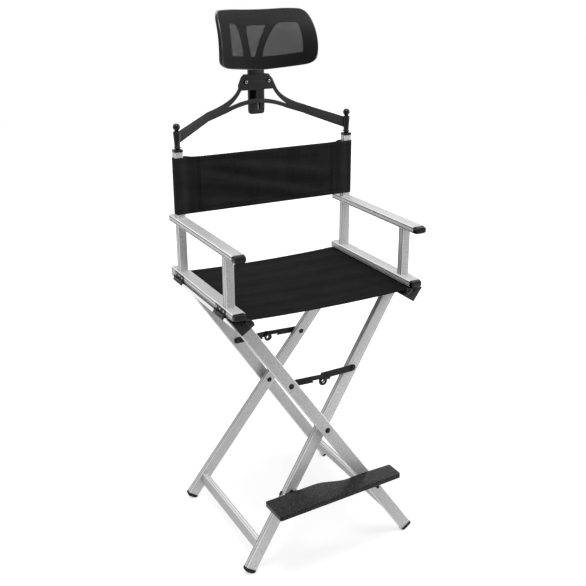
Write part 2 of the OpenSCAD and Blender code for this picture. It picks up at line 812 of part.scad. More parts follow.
// Ribs across and along the board's underside, and solid strips where it is carried
module board_ribs() {
    reach = board_left + board_right;
    for (x = [-board_left:rib_pitch:board_right]) translate([x, -1.1 * board_front])
        square([board_rib, board_front]);
    for (y = [rib_pitch:rib_pitch:board_front]) translate([-1.1 * board_left, -y])
        square([1.1 * reach, board_rib]);
    for (x = [0, peg_x]) translate([x - board_strip, -1.1 * board_front])
        square([2 * board_strip, 1.1 * board_front]);
}

module footboard() {
    color("#202022") on_board_leg() rotate([0, 0, board_yaw])
        translate([0, 0, -board_t / 2]) difference() {
            linear_extrude(board_t) board_outline();
            translate([0, 0, -board_skin]) linear_extrude(board_t) difference() {
                offset(delta = -board_skin) board_outline();
                board_ribs();
            }
        }
}

// The bracket: an upright flange on the pivot bolt and a shelf under the footboard
module footboard_bracket() {
    shelf_z = -board_t / 2 - bracket_t;
    color("#2a2a2c") on_board_leg() {
        translate([0, -clear, 0]) rotate([90, 0, 0]) difference() {
            translate([-bracket_w / 2, shelf_z, 0])
                cube([bracket_w, board_t / 2 - shelf_z, bracket_t]);
            translate([0, 0, -1]) cylinder(r = shaft_r + running, h = bracket_t + 2);
        }
        translate([-bracket_w / 2, -board_front * 0.8, shelf_z])
            cube([bracket_w, board_front * 0.8 - clear, bracket_t]);
    }
}

// The pivot bolt with its head, nut and the clamp plate behind the leg
module footboard_bolt() {
    head_front = clear + bracket_t + 0.3;
    color("#1b1b1c") on_board_leg() {
        translate([0, -head_front, 0]) rotate([90, 0, 0]) cylinder(r = bolt_head_r, h = 5, $fn = 6);
        translate([0, tube_t + 3, 0]) rotate([90, 0, 0]) cylinder(r = shaft_r, h = tube_t + 3 + head_front);
        translate([-tube_w * 0.72, tube_t, -8]) cube([tube_w * 1.44, 3, 16]);
        translate([0, tube_t + 8, 0]) rotate([90, 0, 0]) cylinder(r = head_r, h = 5, $fn = 6);
    }
}

module footboard_peg() {
    color("#1b1b1c") in_frame(-1) on_leg(outer_y) translate([0, tube_t / 2 - wall, peg_l])
        rotate([90, 0, 0]) cylinder(r = peg_r, h = tube_t - wall + peg_len);
}

// Headrest bracket

module bracket_middle() {
    arch_low = plate_top - arch_drop - arch_h;
    tip_x = 0.6 * bend_x;
    shoulder = curve([57, plate_top - 37], [72, plate_top - 69], [bend_x, plate_top - bend_drop]);
    arch = curve([0, arch_low], [tip_x / 2, arch_low], [tip_x, arch_low - 20]);
    side = concat([[clamp_x, plate_top], [clamp_x + 12, plate_top - 14]], shoulder,
        [[bend_x, plate_top - bend_drop - bend_h]]);
    half = concat(side, [for (i = [len(arch) - 1:-1:0]) arch[i]]);
    window_low = curve([0, plate_top - arch_drop], [tip_x / 2, plate_top - arch_drop - 1],
        [tip_x, plate_top - arch_drop - 20]);
    window_up = curve([tip_x, plate_top - arch_drop - 20], [tip_x - 29, plate_top - arch_drop],
        [tip_x - 42, plate_top - window_drop]);
    window = concat(window_low, window_up);
    difference() {
        union() {
            polygon(concat([[0, plate_top]], half));
            polygon(mirrored(concat([[0, plate_top]], half)));
        }
        polygon(concat([[0, plate_top - window_drop]], window));
        polygon(mirrored(concat([[0, plate_top - window_drop]], window)));
        for (x = [-clamp_x, clamp_x]) translate([x, clamp_z]) circle(2.6);
    }
}

// The arms run forward from the bends and end on the finials
module bracket_arm() {
    back = plate_y + plate_t - rear_post_y;
    run = arm_x - bend_x;
    turn = atan2(back - plate_t / 2, run);
    far = norm([run, back - plate_t / 2]);
    translate([bend_x, plate_y + plate_t, 0]) rotate([0, 0, -turn])
        translate([-plate_t * tan(turn / 2), 0, 0]) rotate([90, 0, 0]) linear_extrude(plate_t)
            polygon([
                [0, plate_top - bend_drop], [far, plate_top - end_drop],
                [far, plate_top - end_drop - end_h], [0, plate_top - bend_drop - bend_h]
            ]);
}

module headrest_bracket() {
    color("#2b2b2d") difference() {
        union() {
            lengthwise(plate_y, plate_y + plate_t) bracket_middle();
            for (side = [-1, 1]) on_side(side) bracket_arm();
        }
        for (side = [-1, 1]) translate([side * arm_x, rear_post_y, post_cap_top])
            cylinder(r1 = finial_r(post_cap_top), r2 = finial_r(post_cap_top + 2 * ball_rise),
                h = 2 * ball_rise);
    }
}

// Radius of a finial's body at a height
function finial_r(z) = 7.5 + 2.5 * (z - post_cap_top - 9) / 36;

// A turned finial: foot, collar, tapering body and ball
module finial(side, spigot) {
    top = ball_z - post_cap_top;
    color("#141415") translate([side * arm_x, rear_post_y, post_cap_top]) {
        rotate_extrude() {
            polygon([
                [0, clear], [6, clear], [6, 4], [9.5, 4], [9.5, 7], [7, 8.5],
                [7.5, 9], [10, 45], [9, 46.5], [5, 48], [5, top], [0, top]
            ]);
            translate([0, top]) intersection() {
                circle(ball_r);
                translate([0, -ball_r]) square([ball_r, 2 * ball_r]);
            }
        }
        if (spigot) translate([0, 0, -spigot_len + post_cap_h])
            cylinder(r = spigot_r, h = spigot_len - post_cap_h + 1);
    }
}

// The clamp behind the slider, and its screws with spacers
module clamp_plate() {
    color("#2b2b2d") difference() {
        lengthwise(slider_back + clear, slider_back + clear + 3)
            translate([0, clamp_z]) round_rect(2 * clamp_x + 20, 34, 5);
        for (x = [-clamp_x, clamp_x]) translate([x, slider_back + 10, clamp_z]) rotate([90, 0, 0])
            cylinder(r = 2.6, h = 20);
    }
}

module clamp_screws() {
    color("#9a9a9c") for (x = [-clamp_x, clamp_x]) translate([x, 0, clamp_z]) {
        translate([0, plate_y, 0]) rotate([90, 0, 0]) dome(5, 2);
        translate([0, slider_back + 6, 0]) rotate([90, 0, 0])
            cylinder(r = 2.5, h = slider_back + 6 - plate_y);
        translate([0, slider_back + clear, 0]) rotate([90, 0, 0])
            cylinder(r = 5, h = slider_back + clear - plate_y - plate_t);
        translate([0, slider_back + clear + 6, 0]) rotate([90, 0, 0])
            cylinder(r = 5, h = 3, $fn = 6);
    }
}

// Headrest

// The slider: a flat bar with a slot and a recess, and a barrel for the tilt pin
module height_slider() {
    barrel_r = tilt_pin_r + 5;
    barrel_half = 12;
    neck_top = tilt_z - barrel_r - 3;
    color("#26272a") difference() {
        union() {
            lengthwise(slider_front, slider_back) {
                translate([-slider_w / 2, slider_low + 8]) square([slider_w, neck_top - slider_low - 8]);
                translate([-slider_w / 2 + 8, slider_low]) square([slider_w - 16, 9]);
                for (x = [-1, 1]) translate([x * (slider_w / 2 - 8), slider_low + 8]) circle(8);
            }
            translate([-barrel_half, 0, 0]) rotate([90, 0, 90]) linear_extrude(2 * barrel_half) {
                polygon([
                    [slider_front + 2, neck_top - 9], [slider_back - 2, neck_top - 9],
                    [tilt_y + barrel_r - 2, tilt_z - barrel_r / 2], [tilt_y, tilt_z],
                    [slider_front + 2, tilt_z - 2]
                ]);
                translate([tilt_y, tilt_z]) circle(barrel_r);
            }
        }
        translate([4, slider_front - 1, slider_low + 12]) cube([5, slider_t + 2, 17]);
        translate([-slider_w / 2 + 4, slider_front - 1, slider_low + 44]) cube([16, 5, 21]);
        translate([-barrel_half - 1, tilt_y, tilt_z]) rotate([0, 90, 0])
            cylinder(r = tilt_pin_r, h = 2 * barrel_half + 2);
    }
}

module tilt_pin() {
    color("#8d8d90") translate([-24, tilt_y, tilt_z]) rotate([0, 90, 0])
        cylinder(r = tilt_pin_r, h = 48);
}

// Depth of the pad's front face at a height, in the middle of the pad
function pad_face(z) =
    pad_front + pad_bulge - sqrt(pow(pad_bulge, 2) - pow(min(abs(z - bulge_z), 0.9 * pad_bulge), 2));

// A layer of the pad from depth d0 to depth d1 behind its front face,
// swept round the sitter's head
module pad_layer(d0, d1) {
    rows = 16;
    zs = [for (i = [0:rows]) pad_low - 5 + (pad_high - pad_low + 10) * i / rows];
    axis_y = pad_front - pad_sweep;
    translate([0, axis_y, 0]) rotate([0, 0, 50]) rotate_extrude(angle = 80, $fn = 90)
        polygon(concat(
            [for (z = zs) [pad_face(z) + d0 - axis_y, z]],
            [for (i = [rows:-1:0]) [pad_face(zs[i]) + d1 - axis_y, zs[i]]]));
}

// The pad's outline seen from the front, drawn in by inset
module pad_outline(inset) {
    r = 16;
    low_half = pad_half - 1 - r;
    offset(delta = -inset) hull() {
        for (x = [-1, 1]) {
            translate([x * (pad_top_half - r), pad_high - r - 4]) circle(r, $fn = 32);
            translate([x * (pad_half - 60), bulge_z + 12]) circle(60, $fn = 64);
            translate([x * low_half, pad_low + 10 + r]) circle(r, $fn = 32);
        }
        translate([0, pad_low + 240]) intersection() {
            circle(240, $fn = 128);
            translate([-60, -241]) square([120, 20]);
        }
        translate([0, pad_high - 240]) intersection() {
            circle(240, $fn = 128);
            translate([-60, 221]) square([120, 20]);
        }
    }
}

module pad_piece(inset, d0, d1) {
    intersection() {
        pad_layer(d0, d1);
        lengthwise(pad_near, pad_far) pad_outline(inset);
    }
}

module headrest_mesh() {
    color("#3a3b3d") pad_piece(0, 0, mesh_t);
}

// The pad's frame: a rim behind the mesh, two bars in a V and a hinge hub
module headrest_frame() {
    hub_r = tilt_pin_r + 6;
    back = mesh_t + 0.2;
    lean = 14;
    color("#17181a") difference() {
        union() {
            difference() {
                pad_piece(1.5, back, back + rim_d);
                lengthwise(pad_near, pad_far) pad_outline(rim_w);
            }
            intersection() {
                translate([0, tilt_y, tilt_z]) rotate([lean, 0, 0]) for (side = [-1, 1]) on_side(side)
                    lengthwise(-3, 3) polygon([
                        [12.6, -4], [27, -4], [66, 135], [30, 135]
                    ]);
                pad_piece(3, back, 110);
            }
            for (x = [-18.5, 18.5]) translate([x, tilt_y, tilt_z]) rotate([0, 90, 0])
                cylinder(r = hub_r, h = 12, center = true);
            for (x = [-18.5, 18.5]) translate([x - 6, pad_face(pad_low + 12) + back + 1, tilt_z - 4])
                cube([12, tilt_y - pad_face(pad_low + 12) - back, 8]);
        }
        translate([-26, tilt_y, tilt_z]) rotate([0, 90, 0])
            cylinder(r = tilt_pin_r + running, h = 52);
    }
}

// Named pieces

placed() color("silver") leg(-1, -1, outer_y, peg = true);  // outer_front_leg
placed() color("silver") leg(-1, 1, outer_y);  // outer_rear_leg
placed() color("silver") cross_rail(-1, outer_y);  // outer_cross_rail
placed() color("silver") seat_rail(-1);  // left_seat_rail
placed() color("#1b1b1c") rail_plug(-1);  // left_rail_plug
placed() color("#1b1b1c") foot_caps(-1, outer_y);  // outer_foot_caps
placed() color("#1b1b1c") pivot_rivets();
placed() color("#1b1b1c") outer_brace_rivets();
placed() color("#1b1b1c") rail_hinge_leaves(-1);  // left_rail_hinge_leaves
placed() footboard_peg();
placed() color("silver") leg(1, -1, inner_y, bolt = true);  // inner_front_leg
placed() color("silver") leg(1, 1, inner_y);  // inner_rear_leg
placed() color("silver") cross_rail(1, inner_y);  // inner_cross_rail
placed() color("silver") seat_rail(1);  // right_seat_rail
placed() color("#1b1b1c") rail_plug(1);  // right_rail_plug
placed() color("#1b1b1c") foot_caps(1, inner_y);  // inner_foot_caps
placed() color("#1b1b1c") inner_brace_rivets();
placed() color("#1b1b1c") rail_hinge_leaves(1);  // right_rail_hinge_leaves
placed() footboard_bolt();
placed() color("silver") armrest(-1);  // left_armrest
placed() color("silver") arm_tube(-1, base_front, base_rear, base_mid);  // left_base_rail
placed() color("silver") post(-1, front_post_y, arm_low + tube_t, armrest_top - tube_t);  // left_front_post
placed() color("silver") post(-1, rear_post_y, arm_low + tube_t, post_top);  // left_rear_post
placed() color("#1b1b1c") front_caps(-1);  // left_front_caps
placed() color("gray") rear_caps(-1);  // left_rear_caps
placed() color("#1b1b1c") arm_hinge_leaves(-1);  // left_arm_hinge_leaves
placed() color("gray") hinge_screws(-1);  // left_hinge_screws
placed() color("gray") hinge_pins(-1);  // left_hinge_pins
placed() color("#1b1b1c") post_cap(-1);  // left_post_cap
placed() color("silver") armrest(1);  // right_armrest
placed() color("silver") arm_tube(1, base_front, base_rear, base_mid);  // right_base_rail
placed() color("silver") post(1, front_post_y, arm_low + tube_t, armrest_top - tube_t);  // right_front_post
placed() color("silver") post(1, rear_post_y, arm_low + tube_t, post_top);  // right_rear_post
placed() color("#1b1b1c") front_caps(1);  // right_front_caps
placed() color("gray") rear_caps(1);  // right_rear_caps
placed() color("#1b1b1c") arm_hinge_leaves(1);  // right_arm_hinge_leaves
placed() color("gray") hinge_screws(1);  // right_hinge_screws
placed() color("gray") hinge_pins(1);  // right_hinge_pins
placed() color("#1b1b1c") post_cap(1);  // right_post_cap
placed() seat_canvas();
placed() color("gray") canvas_rod(-1);  // left_canvas_rod
placed() color("gray") canvas_rod(1);  // right_canvas_rod
placed() back_canvas();
placed() left_link(-1);  // front_left_link
placed() right_link(-1);  // front_right_link
placed() left_link(1);  // rear_left_link
placed() right_link(1);  // rear_right_link
placed() footboard();
placed() footboard_bracket();
placed() headrest_bracket();
placed() finial(-1, true);  // left_finial
placed() finial(1, false);  // right_finial
placed() clamp_plate();
placed() clamp_screws();
placed() height_slider();
placed() tilt_pin();
placed() headrest_frame();
placed() headrest_mesh();
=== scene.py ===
# Folding makeup chair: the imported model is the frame, and this script dresses it.
# Cloth, headrest net, caps, turned pieces and screws are modelled here, and each finish is a
# procedural material on Object coordinates or on the piece's own UV map.
import json
import math

import bmesh
import bpy
from mathutils import Matrix, Vector


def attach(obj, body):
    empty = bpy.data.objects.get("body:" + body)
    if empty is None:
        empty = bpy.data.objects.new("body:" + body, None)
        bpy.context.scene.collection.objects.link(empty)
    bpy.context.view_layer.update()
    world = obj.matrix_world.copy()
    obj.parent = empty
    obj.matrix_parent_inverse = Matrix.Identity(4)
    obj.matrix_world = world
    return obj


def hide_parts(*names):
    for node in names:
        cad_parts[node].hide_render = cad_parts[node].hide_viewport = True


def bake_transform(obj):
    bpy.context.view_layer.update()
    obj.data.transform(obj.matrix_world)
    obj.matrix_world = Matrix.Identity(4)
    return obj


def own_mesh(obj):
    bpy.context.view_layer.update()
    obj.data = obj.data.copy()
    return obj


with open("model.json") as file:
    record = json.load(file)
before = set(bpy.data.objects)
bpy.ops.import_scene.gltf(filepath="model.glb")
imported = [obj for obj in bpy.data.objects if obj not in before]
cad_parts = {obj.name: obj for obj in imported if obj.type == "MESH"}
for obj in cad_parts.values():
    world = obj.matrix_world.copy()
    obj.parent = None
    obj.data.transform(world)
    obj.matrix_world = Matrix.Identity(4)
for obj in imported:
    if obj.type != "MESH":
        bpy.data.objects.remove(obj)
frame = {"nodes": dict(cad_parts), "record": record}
nodes = frame["nodes"]
record = frame["record"]
body_of = {n: b for b, members in record["behaviour"]["bodies"].items() for n in members}
slot_of = {s["node"]: s["material_slot"] for s in record["subparts"]}
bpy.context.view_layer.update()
SIDES = ((-1, "left"), (1, "right"))

# Sizes of the chair in millimetres, as the model has them before its last shift in Y
MIDDLE_Y = -34.509
LEG_ANGLE = math.radians(34.4)
SPLAY = math.radians(5.7)
PIVOT_Z = 366.0
OUTER_Y, INNER_Y = 188.5, 162.5
FRAMES = (("outer", -1, OUTER_Y), ("inner", 1, INNER_Y))
TUBE_W, TUBE_T = 34.0, 17.0
ARM_X = 254.966
ARMREST_FRONT, ARMREST_Z = -209, 892.0
BASE_FRONT, BASE_Z = -204, 743.5
HINGE_SPOTS = (-135, 141)
FRONT_POST_Y, REAR_POST_Y = -147.5, 160.0
POST_W, POST_D = 23.0, 21.0
SLIDER_FRONT = 210.3
CLAMP_Z = 1236.0


def place(x, y, z):
    """A point of the model in metres, from millimetres before the shift in Y."""
    return Vector((x, y - MIDDLE_Y, z)) / 1000


# ------------------------ Camera and studio

TURN, RISE, ROLL = math.radians(-27.8), math.radians(20.5), math.radians(-0.1)
FOCAL_PIXELS, PHOTO_PIXELS, SENSOR = 896.7, 586, 36
CAMERA_SPOT = place(-1067.9, -2024.1, 1548.8)
# Share of X and of Y in how far a direction or a place lies on the camera's side
TOWARDS_CAMERA = (-0.466, -0.885)
# Each lamp's name, place, target, size in metres and power in watts
LAMPS = [
    ("ceiling softbox", (-0.5, -0.6, 3.6), (0, 0, 0.9), 1.6, 58),
    ("right softbox", (2.9, -1.6, 1.9), (0, 0, 0.8), 1.5, 29),
    ("left softbox", (-3.0, -0.2, 1.7), (0, 0, 0.9), 1.4, 6),
]


def stand(name, data):
    """A new object in the scene for its data."""
    item = bpy.data.objects.new(name, data)
    bpy.context.scene.collection.objects.link(item)
    return item


def make_camera():
    back = Vector((math.sin(TURN) * math.cos(RISE), -math.cos(TURN) * math.cos(RISE),
                   math.sin(RISE)))
    level = Vector((math.cos(TURN), math.sin(TURN), 0))
    above = back.cross(level)
    right = level * math.cos(ROLL) + above * math.sin(ROLL)
    up = above * math.cos(ROLL) - level * math.sin(ROLL)
    data = bpy.data.cameras.new("camera")
    data.sensor_width = SENSOR
    data.lens = FOCAL_PIXELS / PHOTO_PIXELS * SENSOR
    data.clip_start, data.clip_end = 0.05, 60
    camera = stand("camera", data)
    camera.matrix_world = Matrix((*zip(right, up, back, CAMERA_SPOT), (0, 0, 0, 1)))
    bpy.context.scene.camera = camera


def fresh(owner):
    """The emptied node tree of a world or a material."""
    owner.use_nodes = True
    owner.node_tree.nodes.clear()
    return Nodes(owner.node_tree)


def make_world():
    """A white room whose dark side is behind the camera."""
    world = bpy.data.worlds.new("studio")
    bpy.context.scene.world = world
    n = fresh(world)
    path = n.node("ShaderNodeLightPath").outputs
    x, y, z = n.split(n.node("ShaderNodeTexCoord").outputs["Generated"])
    ceiling = n.spread(z, -0.1, 0.9, 0.72, 1.1)
    wall = n.spread(n.nearness(x, y), 0.3, 0.95, 1.0, 0.22)
    left = n.spread(x, -1.0, 0.1, 0.75, 1.0)
    room = n.times(n.times(ceiling, wall), left)
    share = n.most(path["Is Glossy Ray"], 0.72)
    seen = n.most(path["Is Camera Ray"], path["Is Transmission Ray"])
    paint = n.node("ShaderNodeBackground")
    paint.inputs["Color"].default_value = (1, 1, 1, 1)
    n.set(paint.inputs["Strength"], n.most(n.times(room, share), seen))
    n.set(n.node("ShaderNodeOutputWorld").inputs[0], paint.outputs[0])


def make_floor():
    """White paper under the chair: it turns into the room's white and keeps a faint shadow."""
    floor = start("studio_floor", bpy.ops.mesh.primitive_plane_add, size=14)
    paper = bpy.data.materials.new("studio paper")
    n = fresh(paper)
    path = n.node("ShaderNodeLightPath").outputs
    spot = n.node("ShaderNodeTexCoord").outputs["Object"]
    x, y = n.split(spot)[:2]
    far = n.node("ShaderNodeVectorMath")
    far.operation = "LENGTH"
    n.set(far.inputs[0], spot)
    white = n.spread(far.outputs["Value"], 0.45, 1.7, 0.66, 1.0)
    mirrored = n.times(path["Is Glossy Ray"], n.spread(n.nearness(x, y), 0.45, 1.2, 1.0, 0.15))
    seen = n.most(n.most(path["Is Camera Ray"], path["Is Transmission Ray"]), mirrored)
    matt = n.node("ShaderNodeBsdfDiffuse")
    matt.inputs["Color"].default_value = (0.5, 0.5, 0.5, 1)
    lift = n.node("ShaderNodeEmission")
    n.set(lift.inputs["Strength"], n.times(seen, white))
    both = n.node("ShaderNodeAddShader")
    n.set(both.inputs[0], matt.outputs[0])
    n.set(both.inputs[1], lift.outputs[0])
    n.set(n.node("ShaderNodeOutputMaterial").inputs["Surface"], both.outputs[0])
    floor.data.materials.append(paper)


def make_studio():
    bpy.context.scene.view_settings.view_transform = "Standard"
    make_world()
    make_floor()
    for name, spot, target, size, power in LAMPS:
        data = bpy.data.lights.new(name, "AREA")
        data.shape = "DISK"
        data.size = size
        data.energy = power
        lamp = stand(name, data)
        lamp.location = spot
        lamp.rotation_euler = (Vector(target) - Vector(spot)).to_track_quat("-Z", "Y").to_euler()


# ------------------------ Finishes

GROUPS = {}


class Nodes:
    """Short ways to add nodes to one tree and link them."""

    def __init__(self, tree):
        self.tree = tree
        self.node = tree.nodes.new

    def set(self, socket, value):
        if isinstance(value, bpy.types.NodeSocket):
            self.tree.links.new(value, socket)
        elif value is not None:
            socket.default_value = value

    def add(self, kind, **inputs):
        node = self.node(kind)
        for name, value in inputs.items():
            self.set(node.inputs[name], value)
        return node.outputs[0]

    def maths(self, operation, *values):
        node = self.node("ShaderNodeMath")
        node.operation = operation
        for socket, value in zip(node.inputs, values):
            self.set(socket, value)
        return node.outputs[0]

    def times(self, first, second):
        return self.maths("MULTIPLY", first, second)

    def most(self, first, second):
        return self.maths("MAXIMUM", first, second)

    def total(self, *parts):
        """The sum of values, each with its share."""
        found = None
        for value, share in parts:
            part = value if share == 1 else self.times(value, share)
            found = self.maths("ADD", found, part) if found else part
        return found

    def nearness(self, x, y):
        """How far on the camera's side a direction or a place lies."""
        return self.total((x, TOWARDS_CAMERA[0]), (y, TOWARDS_CAMERA[1]))

    def split(self, vector):
        node = self.node("ShaderNodeSeparateXYZ")
        self.set(node.inputs[0], vector)
        return node.outputs

    def stretched(self, vector, scale, turn=(0, 0, 0)):
        return self.add("ShaderNodeMapping", Vector=vector, Rotation=turn, Scale=scale)

    def noise(self, vector, scale, detail=2.0, rough=0.5):
        return self.add("ShaderNodeTexNoise", Vector=vector, Scale=scale, Detail=detail,
                        Roughness=rough)

    def spread(self, value, low, high, to_low=0.0, to_high=1.0):
        node = self.node("ShaderNodeMapRange")
        for socket, v in zip(node.inputs, (value, low, high, to_low, to_high)):
            self.set(socket, v)
        return node.outputs[0]

    def blend(self, share, first, second):
        node = self.node("ShaderNodeMix")
        node.data_type = "RGBA"
        for k, value in ((0, share), (6, first), (7, second)):
            self.set(node.inputs[k], value)
        return node.outputs[2]

    def attribute(self, name):
        node = self.node("ShaderNodeAttribute")
        node.attribute_name = name
        return node.outputs["Fac"]

    def group(self, name, **inputs):
        node = self.node("ShaderNodeGroup")
        node.node_tree = GROUPS[name]
        for label, value in inputs.items():
            self.set(node.inputs[label], value)
        return node.outputs


def new_group(name, outputs, **settings):
    """A node group on a vector and its settings; gives its nodes, its inputs and outputs."""
    tree = bpy.data.node_groups.new(name, "ShaderNodeTree")
    tree.interface.new_socket("Vector", in_out="INPUT", socket_type="NodeSocketVector")
    for label, value in settings.items():
        tree.interface.new_socket(label, in_out="INPUT",
                                  socket_type="NodeSocketFloat").default_value = value
    for label in outputs:
        tree.interface.new_socket(label, in_out="OUTPUT", socket_type="NodeSocketFloat")
    GROUPS[name] = tree
    n = Nodes(tree)
    return n, n.node("NodeGroupInput").outputs, n.node("NodeGroupOutput").inputs


def drawn_lines_group():
    """Fine lines that the die and the brushing leave along a drawn tube, and cloudy wear."""
    n, given, out = new_group("drawn lines", ("Height", "Cloud"), Fineness=1500.0)
    long_way = n.stretched(given["Vector"], (1, 1, 0.006))
    fine = n.noise(long_way, given["Fineness"], 3.0, 0.6)
    wide = n.noise(long_way, n.times(given["Fineness"], 0.16), 2.0)
    n.set(out["Height"], n.total((fine, 0.6), (wide, 0.4)))
    n.set(out["Cloud"], n.spread(n.noise(given["Vector"], 9.0, 3.0, 0.55), 0.3, 0.7))


def fine_grain_group():
    """The pebbled skin of powder coat and moulded plastic, with uneven sheen."""
    n, given, out = new_group("fine grain", ("Height", "Sheen"), Pebbles=1400.0)
    cell = n.node("ShaderNodeTexVoronoi")
    cell.feature = "SMOOTH_F1"
    n.set(cell.inputs["Vector"], given["Vector"])
    n.set(cell.inputs["Scale"], given["Pebbles"])
    grain = n.noise(given["Vector"], n.times(given["Pebbles"], 0.5))
    n.set(out["Height"], n.total((cell.outputs["Distance"], -0.7), (grain, 0.5)))
    n.set(out["Sheen"], n.spread(n.noise(given["Vector"], 14.0, 4.0, 0.6), 0.3, 0.7))


def plain_weave_group():
    """A plain weave on a UV map in metres: threads over and under, and uneven yarn."""
    n, given, out = new_group("plain weave", ("Height", "Yarn"), Pitch=0.0009)
    turns = n.maths("DIVIDE", math.pi, given["Pitch"])
    u, v = (n.maths("SINE", n.times(way, turns)) for way in n.split(given["Vector"])[:2])
    over = n.times(u, v)
    warp, weft = (n.times(n.maths("ABSOLUTE", way), n.maths(sign, 1.0, over))
                  for way, sign in ((u, "ADD"), (v, "SUBTRACT")))
    n.set(out["Height"], n.times(n.most(warp, weft), 0.5))
    along, across = (n.noise(n.stretched(given["Vector"], scale), 1.0, 2.0)
                     for scale in ((900, 12, 1), (12, 900, 1)))
    n.set(out["Yarn"], n.times(n.maths("ADD", along, across), 0.5))


def settled_dust_group():
    """A little dust on what faces up."""
    n, given, out = new_group("settled dust", ("Mask",))
    upward = n.split(n.node("ShaderNodeNewGeometry").outputs["Normal"])[2]
    speck = n.noise(given["Vector"], 260.0, 4.0, 0.7)
    patch = n.noise(given["Vector"], 12.0, 2.0)
    uneven = n.times(n.spread(speck, 0.45, 0.75), n.spread(patch, 0.3, 0.7, 0.4, 1.0))
    n.set(out["Mask"], n.times(n.spread(upward, 0.2, 1.0), uneven))


def new_finish(name):
    """A material with its nodes, its shader's inputs and its texture coordinates."""
    material = bpy.data.materials.new(name)
    material.use_nodes = True
    n = Nodes(material.node_tree)
    shader = material.node_tree.nodes["Principled BSDF"]
    return material, n, shader.inputs, n.node("ShaderNodeTexCoord").outputs


def bump(n, into, height, strength, distance):
    n.set(into["Normal"], n.add("ShaderNodeBump", Height=height, Strength=strength,
                                Distance=distance))


def shade(color, factor=1.0, most=1.0):
    """A colour made darker or lighter, and opaque."""
    return [min(most, c * factor) for c in color] + [1]


SILVER = (0.75, 0.75, 0.755)


def satin_aluminium(name, turn, tint=1.0, metal=0.35, rough=0.42, mottle=1.0):
    """Blasted and anodised aluminium: a fine sparkle, and drawing lines along the tube, whose
    own axis turn makes Z."""
    material, n, into, spot = new_finish(name)
    height, cloud = n.group("drawn lines", Vector=n.stretched(spot["Object"], (1, 1, 1), turn))
    grain = n.group("fine grain", Vector=spot["Object"], Pebbles=620.0)["Height"]
    sparkle = n.noise(spot["Object"], 390.0, 2.0, 0.7)
    tone = n.total((height, 0.2), (cloud, 0.07), (sparkle, 1))
    skin = n.blend(n.spread(tone, 0.46, 0.82), shade(SILVER, tint * (1 - 0.41 * mottle)),
                   shade(SILVER, tint, 0.96))
    # Painted highlight and shade: points marked on corner crests are painted nearly white, points
    # marked in grooves nearly black
    line = n.attribute("line")
    painted_crests = n.blend(n.spread(line, 0.0, 0.8), skin, (0.95, 0.95, 0.95, 1))
    n.set(into["Base Color"], n.blend(n.spread(line, 0.0, -0.8), painted_crests, (0.04, 0.04, 0.04, 1)))
    into["Metallic"].default_value = metal
    n.set(into["Roughness"], n.spread(n.maths("ADD", height, cloud), 0.5, 1.4, rough,
                                      rough + 0.1))
    bump(n, into, n.maths("ADD", height, grain), 0.22, 0.00012)
    return material


def black_finish(name, color, rough, pebbles, relief, coat=0.0, dust=0.5, spec=0.5,
                 flecks=0.0):
    """Powder coat, rubber or moulded plastic: grain, uneven sheen and a little dust."""
    material, n, into, spot = new_finish(name)
    height, sheen = n.group("fine grain", Vector=spot["Object"], Pebbles=pebbles)
    mask = n.group("settled dust", Vector=spot["Object"])["Mask"]
    tone = n.blend(sheen, shade(color, 0.86), shade(color, 1.14))
    if flecks:
        fleck = n.noise(spot["Object"], 250.0, 2.0, 0.7)
        tone = n.blend(n.spread(fleck, 0.5, 0.68, 0.0, flecks), tone, shade(color, 13))
    n.set(into["Base Color"], n.blend(n.times(mask, dust), tone,
                                      [min(1, c + 0.05) for c in color] + [1]))
    n.set(into["Roughness"], n.spread(sheen, 0, 1, rough - 0.05, rough + 0.07))
    into["Specular IOR Level"].default_value = spec
    into["Coat Weight"].default_value = coat
    bump(n, into, height, relief, 0.0002)
    return material


def black_canvas(name, light):
    """Heavy black canvas on the piece's UV map, with lint, uneven yarn, and painted light and
    shade along folds, seams and hems."""
    material, n, into, spot = new_finish(name)
    height, yarn = n.group("plain weave", Vector=spot["UV"])
    wide = n.noise(spot["Object"], 16.0, 4.0, 0.6)
    lint = n.noise(spot["Object"], 1500.0, 1.0, 0.7)
    # Painted light and shade: the cloth's attribute lightens raised folds and the sleeves over the
    # posts, and darkens troughs, seams and hems
    painted_shading = n.attribute("painted_shading")
    # light scales the canvas into a lighter or darker copy: painted light and shade
    cloth = n.blend(n.spread(n.total((yarn, 0.55), (wide, 0.45)), 0.36, 0.64),
                    shade((0.0065, 0.0065, 0.0069), light), shade((0.0165, 0.0165, 0.0172), light))
    cloth = n.blend(n.spread(painted_shading, 0.0, 1.0, 0.0, 0.75), cloth,
                    shade((0.026, 0.026, 0.027), light))
    cloth = n.blend(n.spread(painted_shading, 0.0, -1.0, 0.0, 0.8), cloth, (0.003, 0.003, 0.0032, 1))
    n.set(into["Base Color"], n.blend(n.spread(lint, 0.72, 0.85, 0.0, 0.35), cloth,
                                      shade((0.05, 0.05, 0.05), light)))
    n.set(into["Roughness"], n.spread(height, 0, 1, 0.95, 0.8))
    into["Specular IOR Level"].default_value = 0.08
    bump(n, into, height, 0.35, 0.0004)
    return material


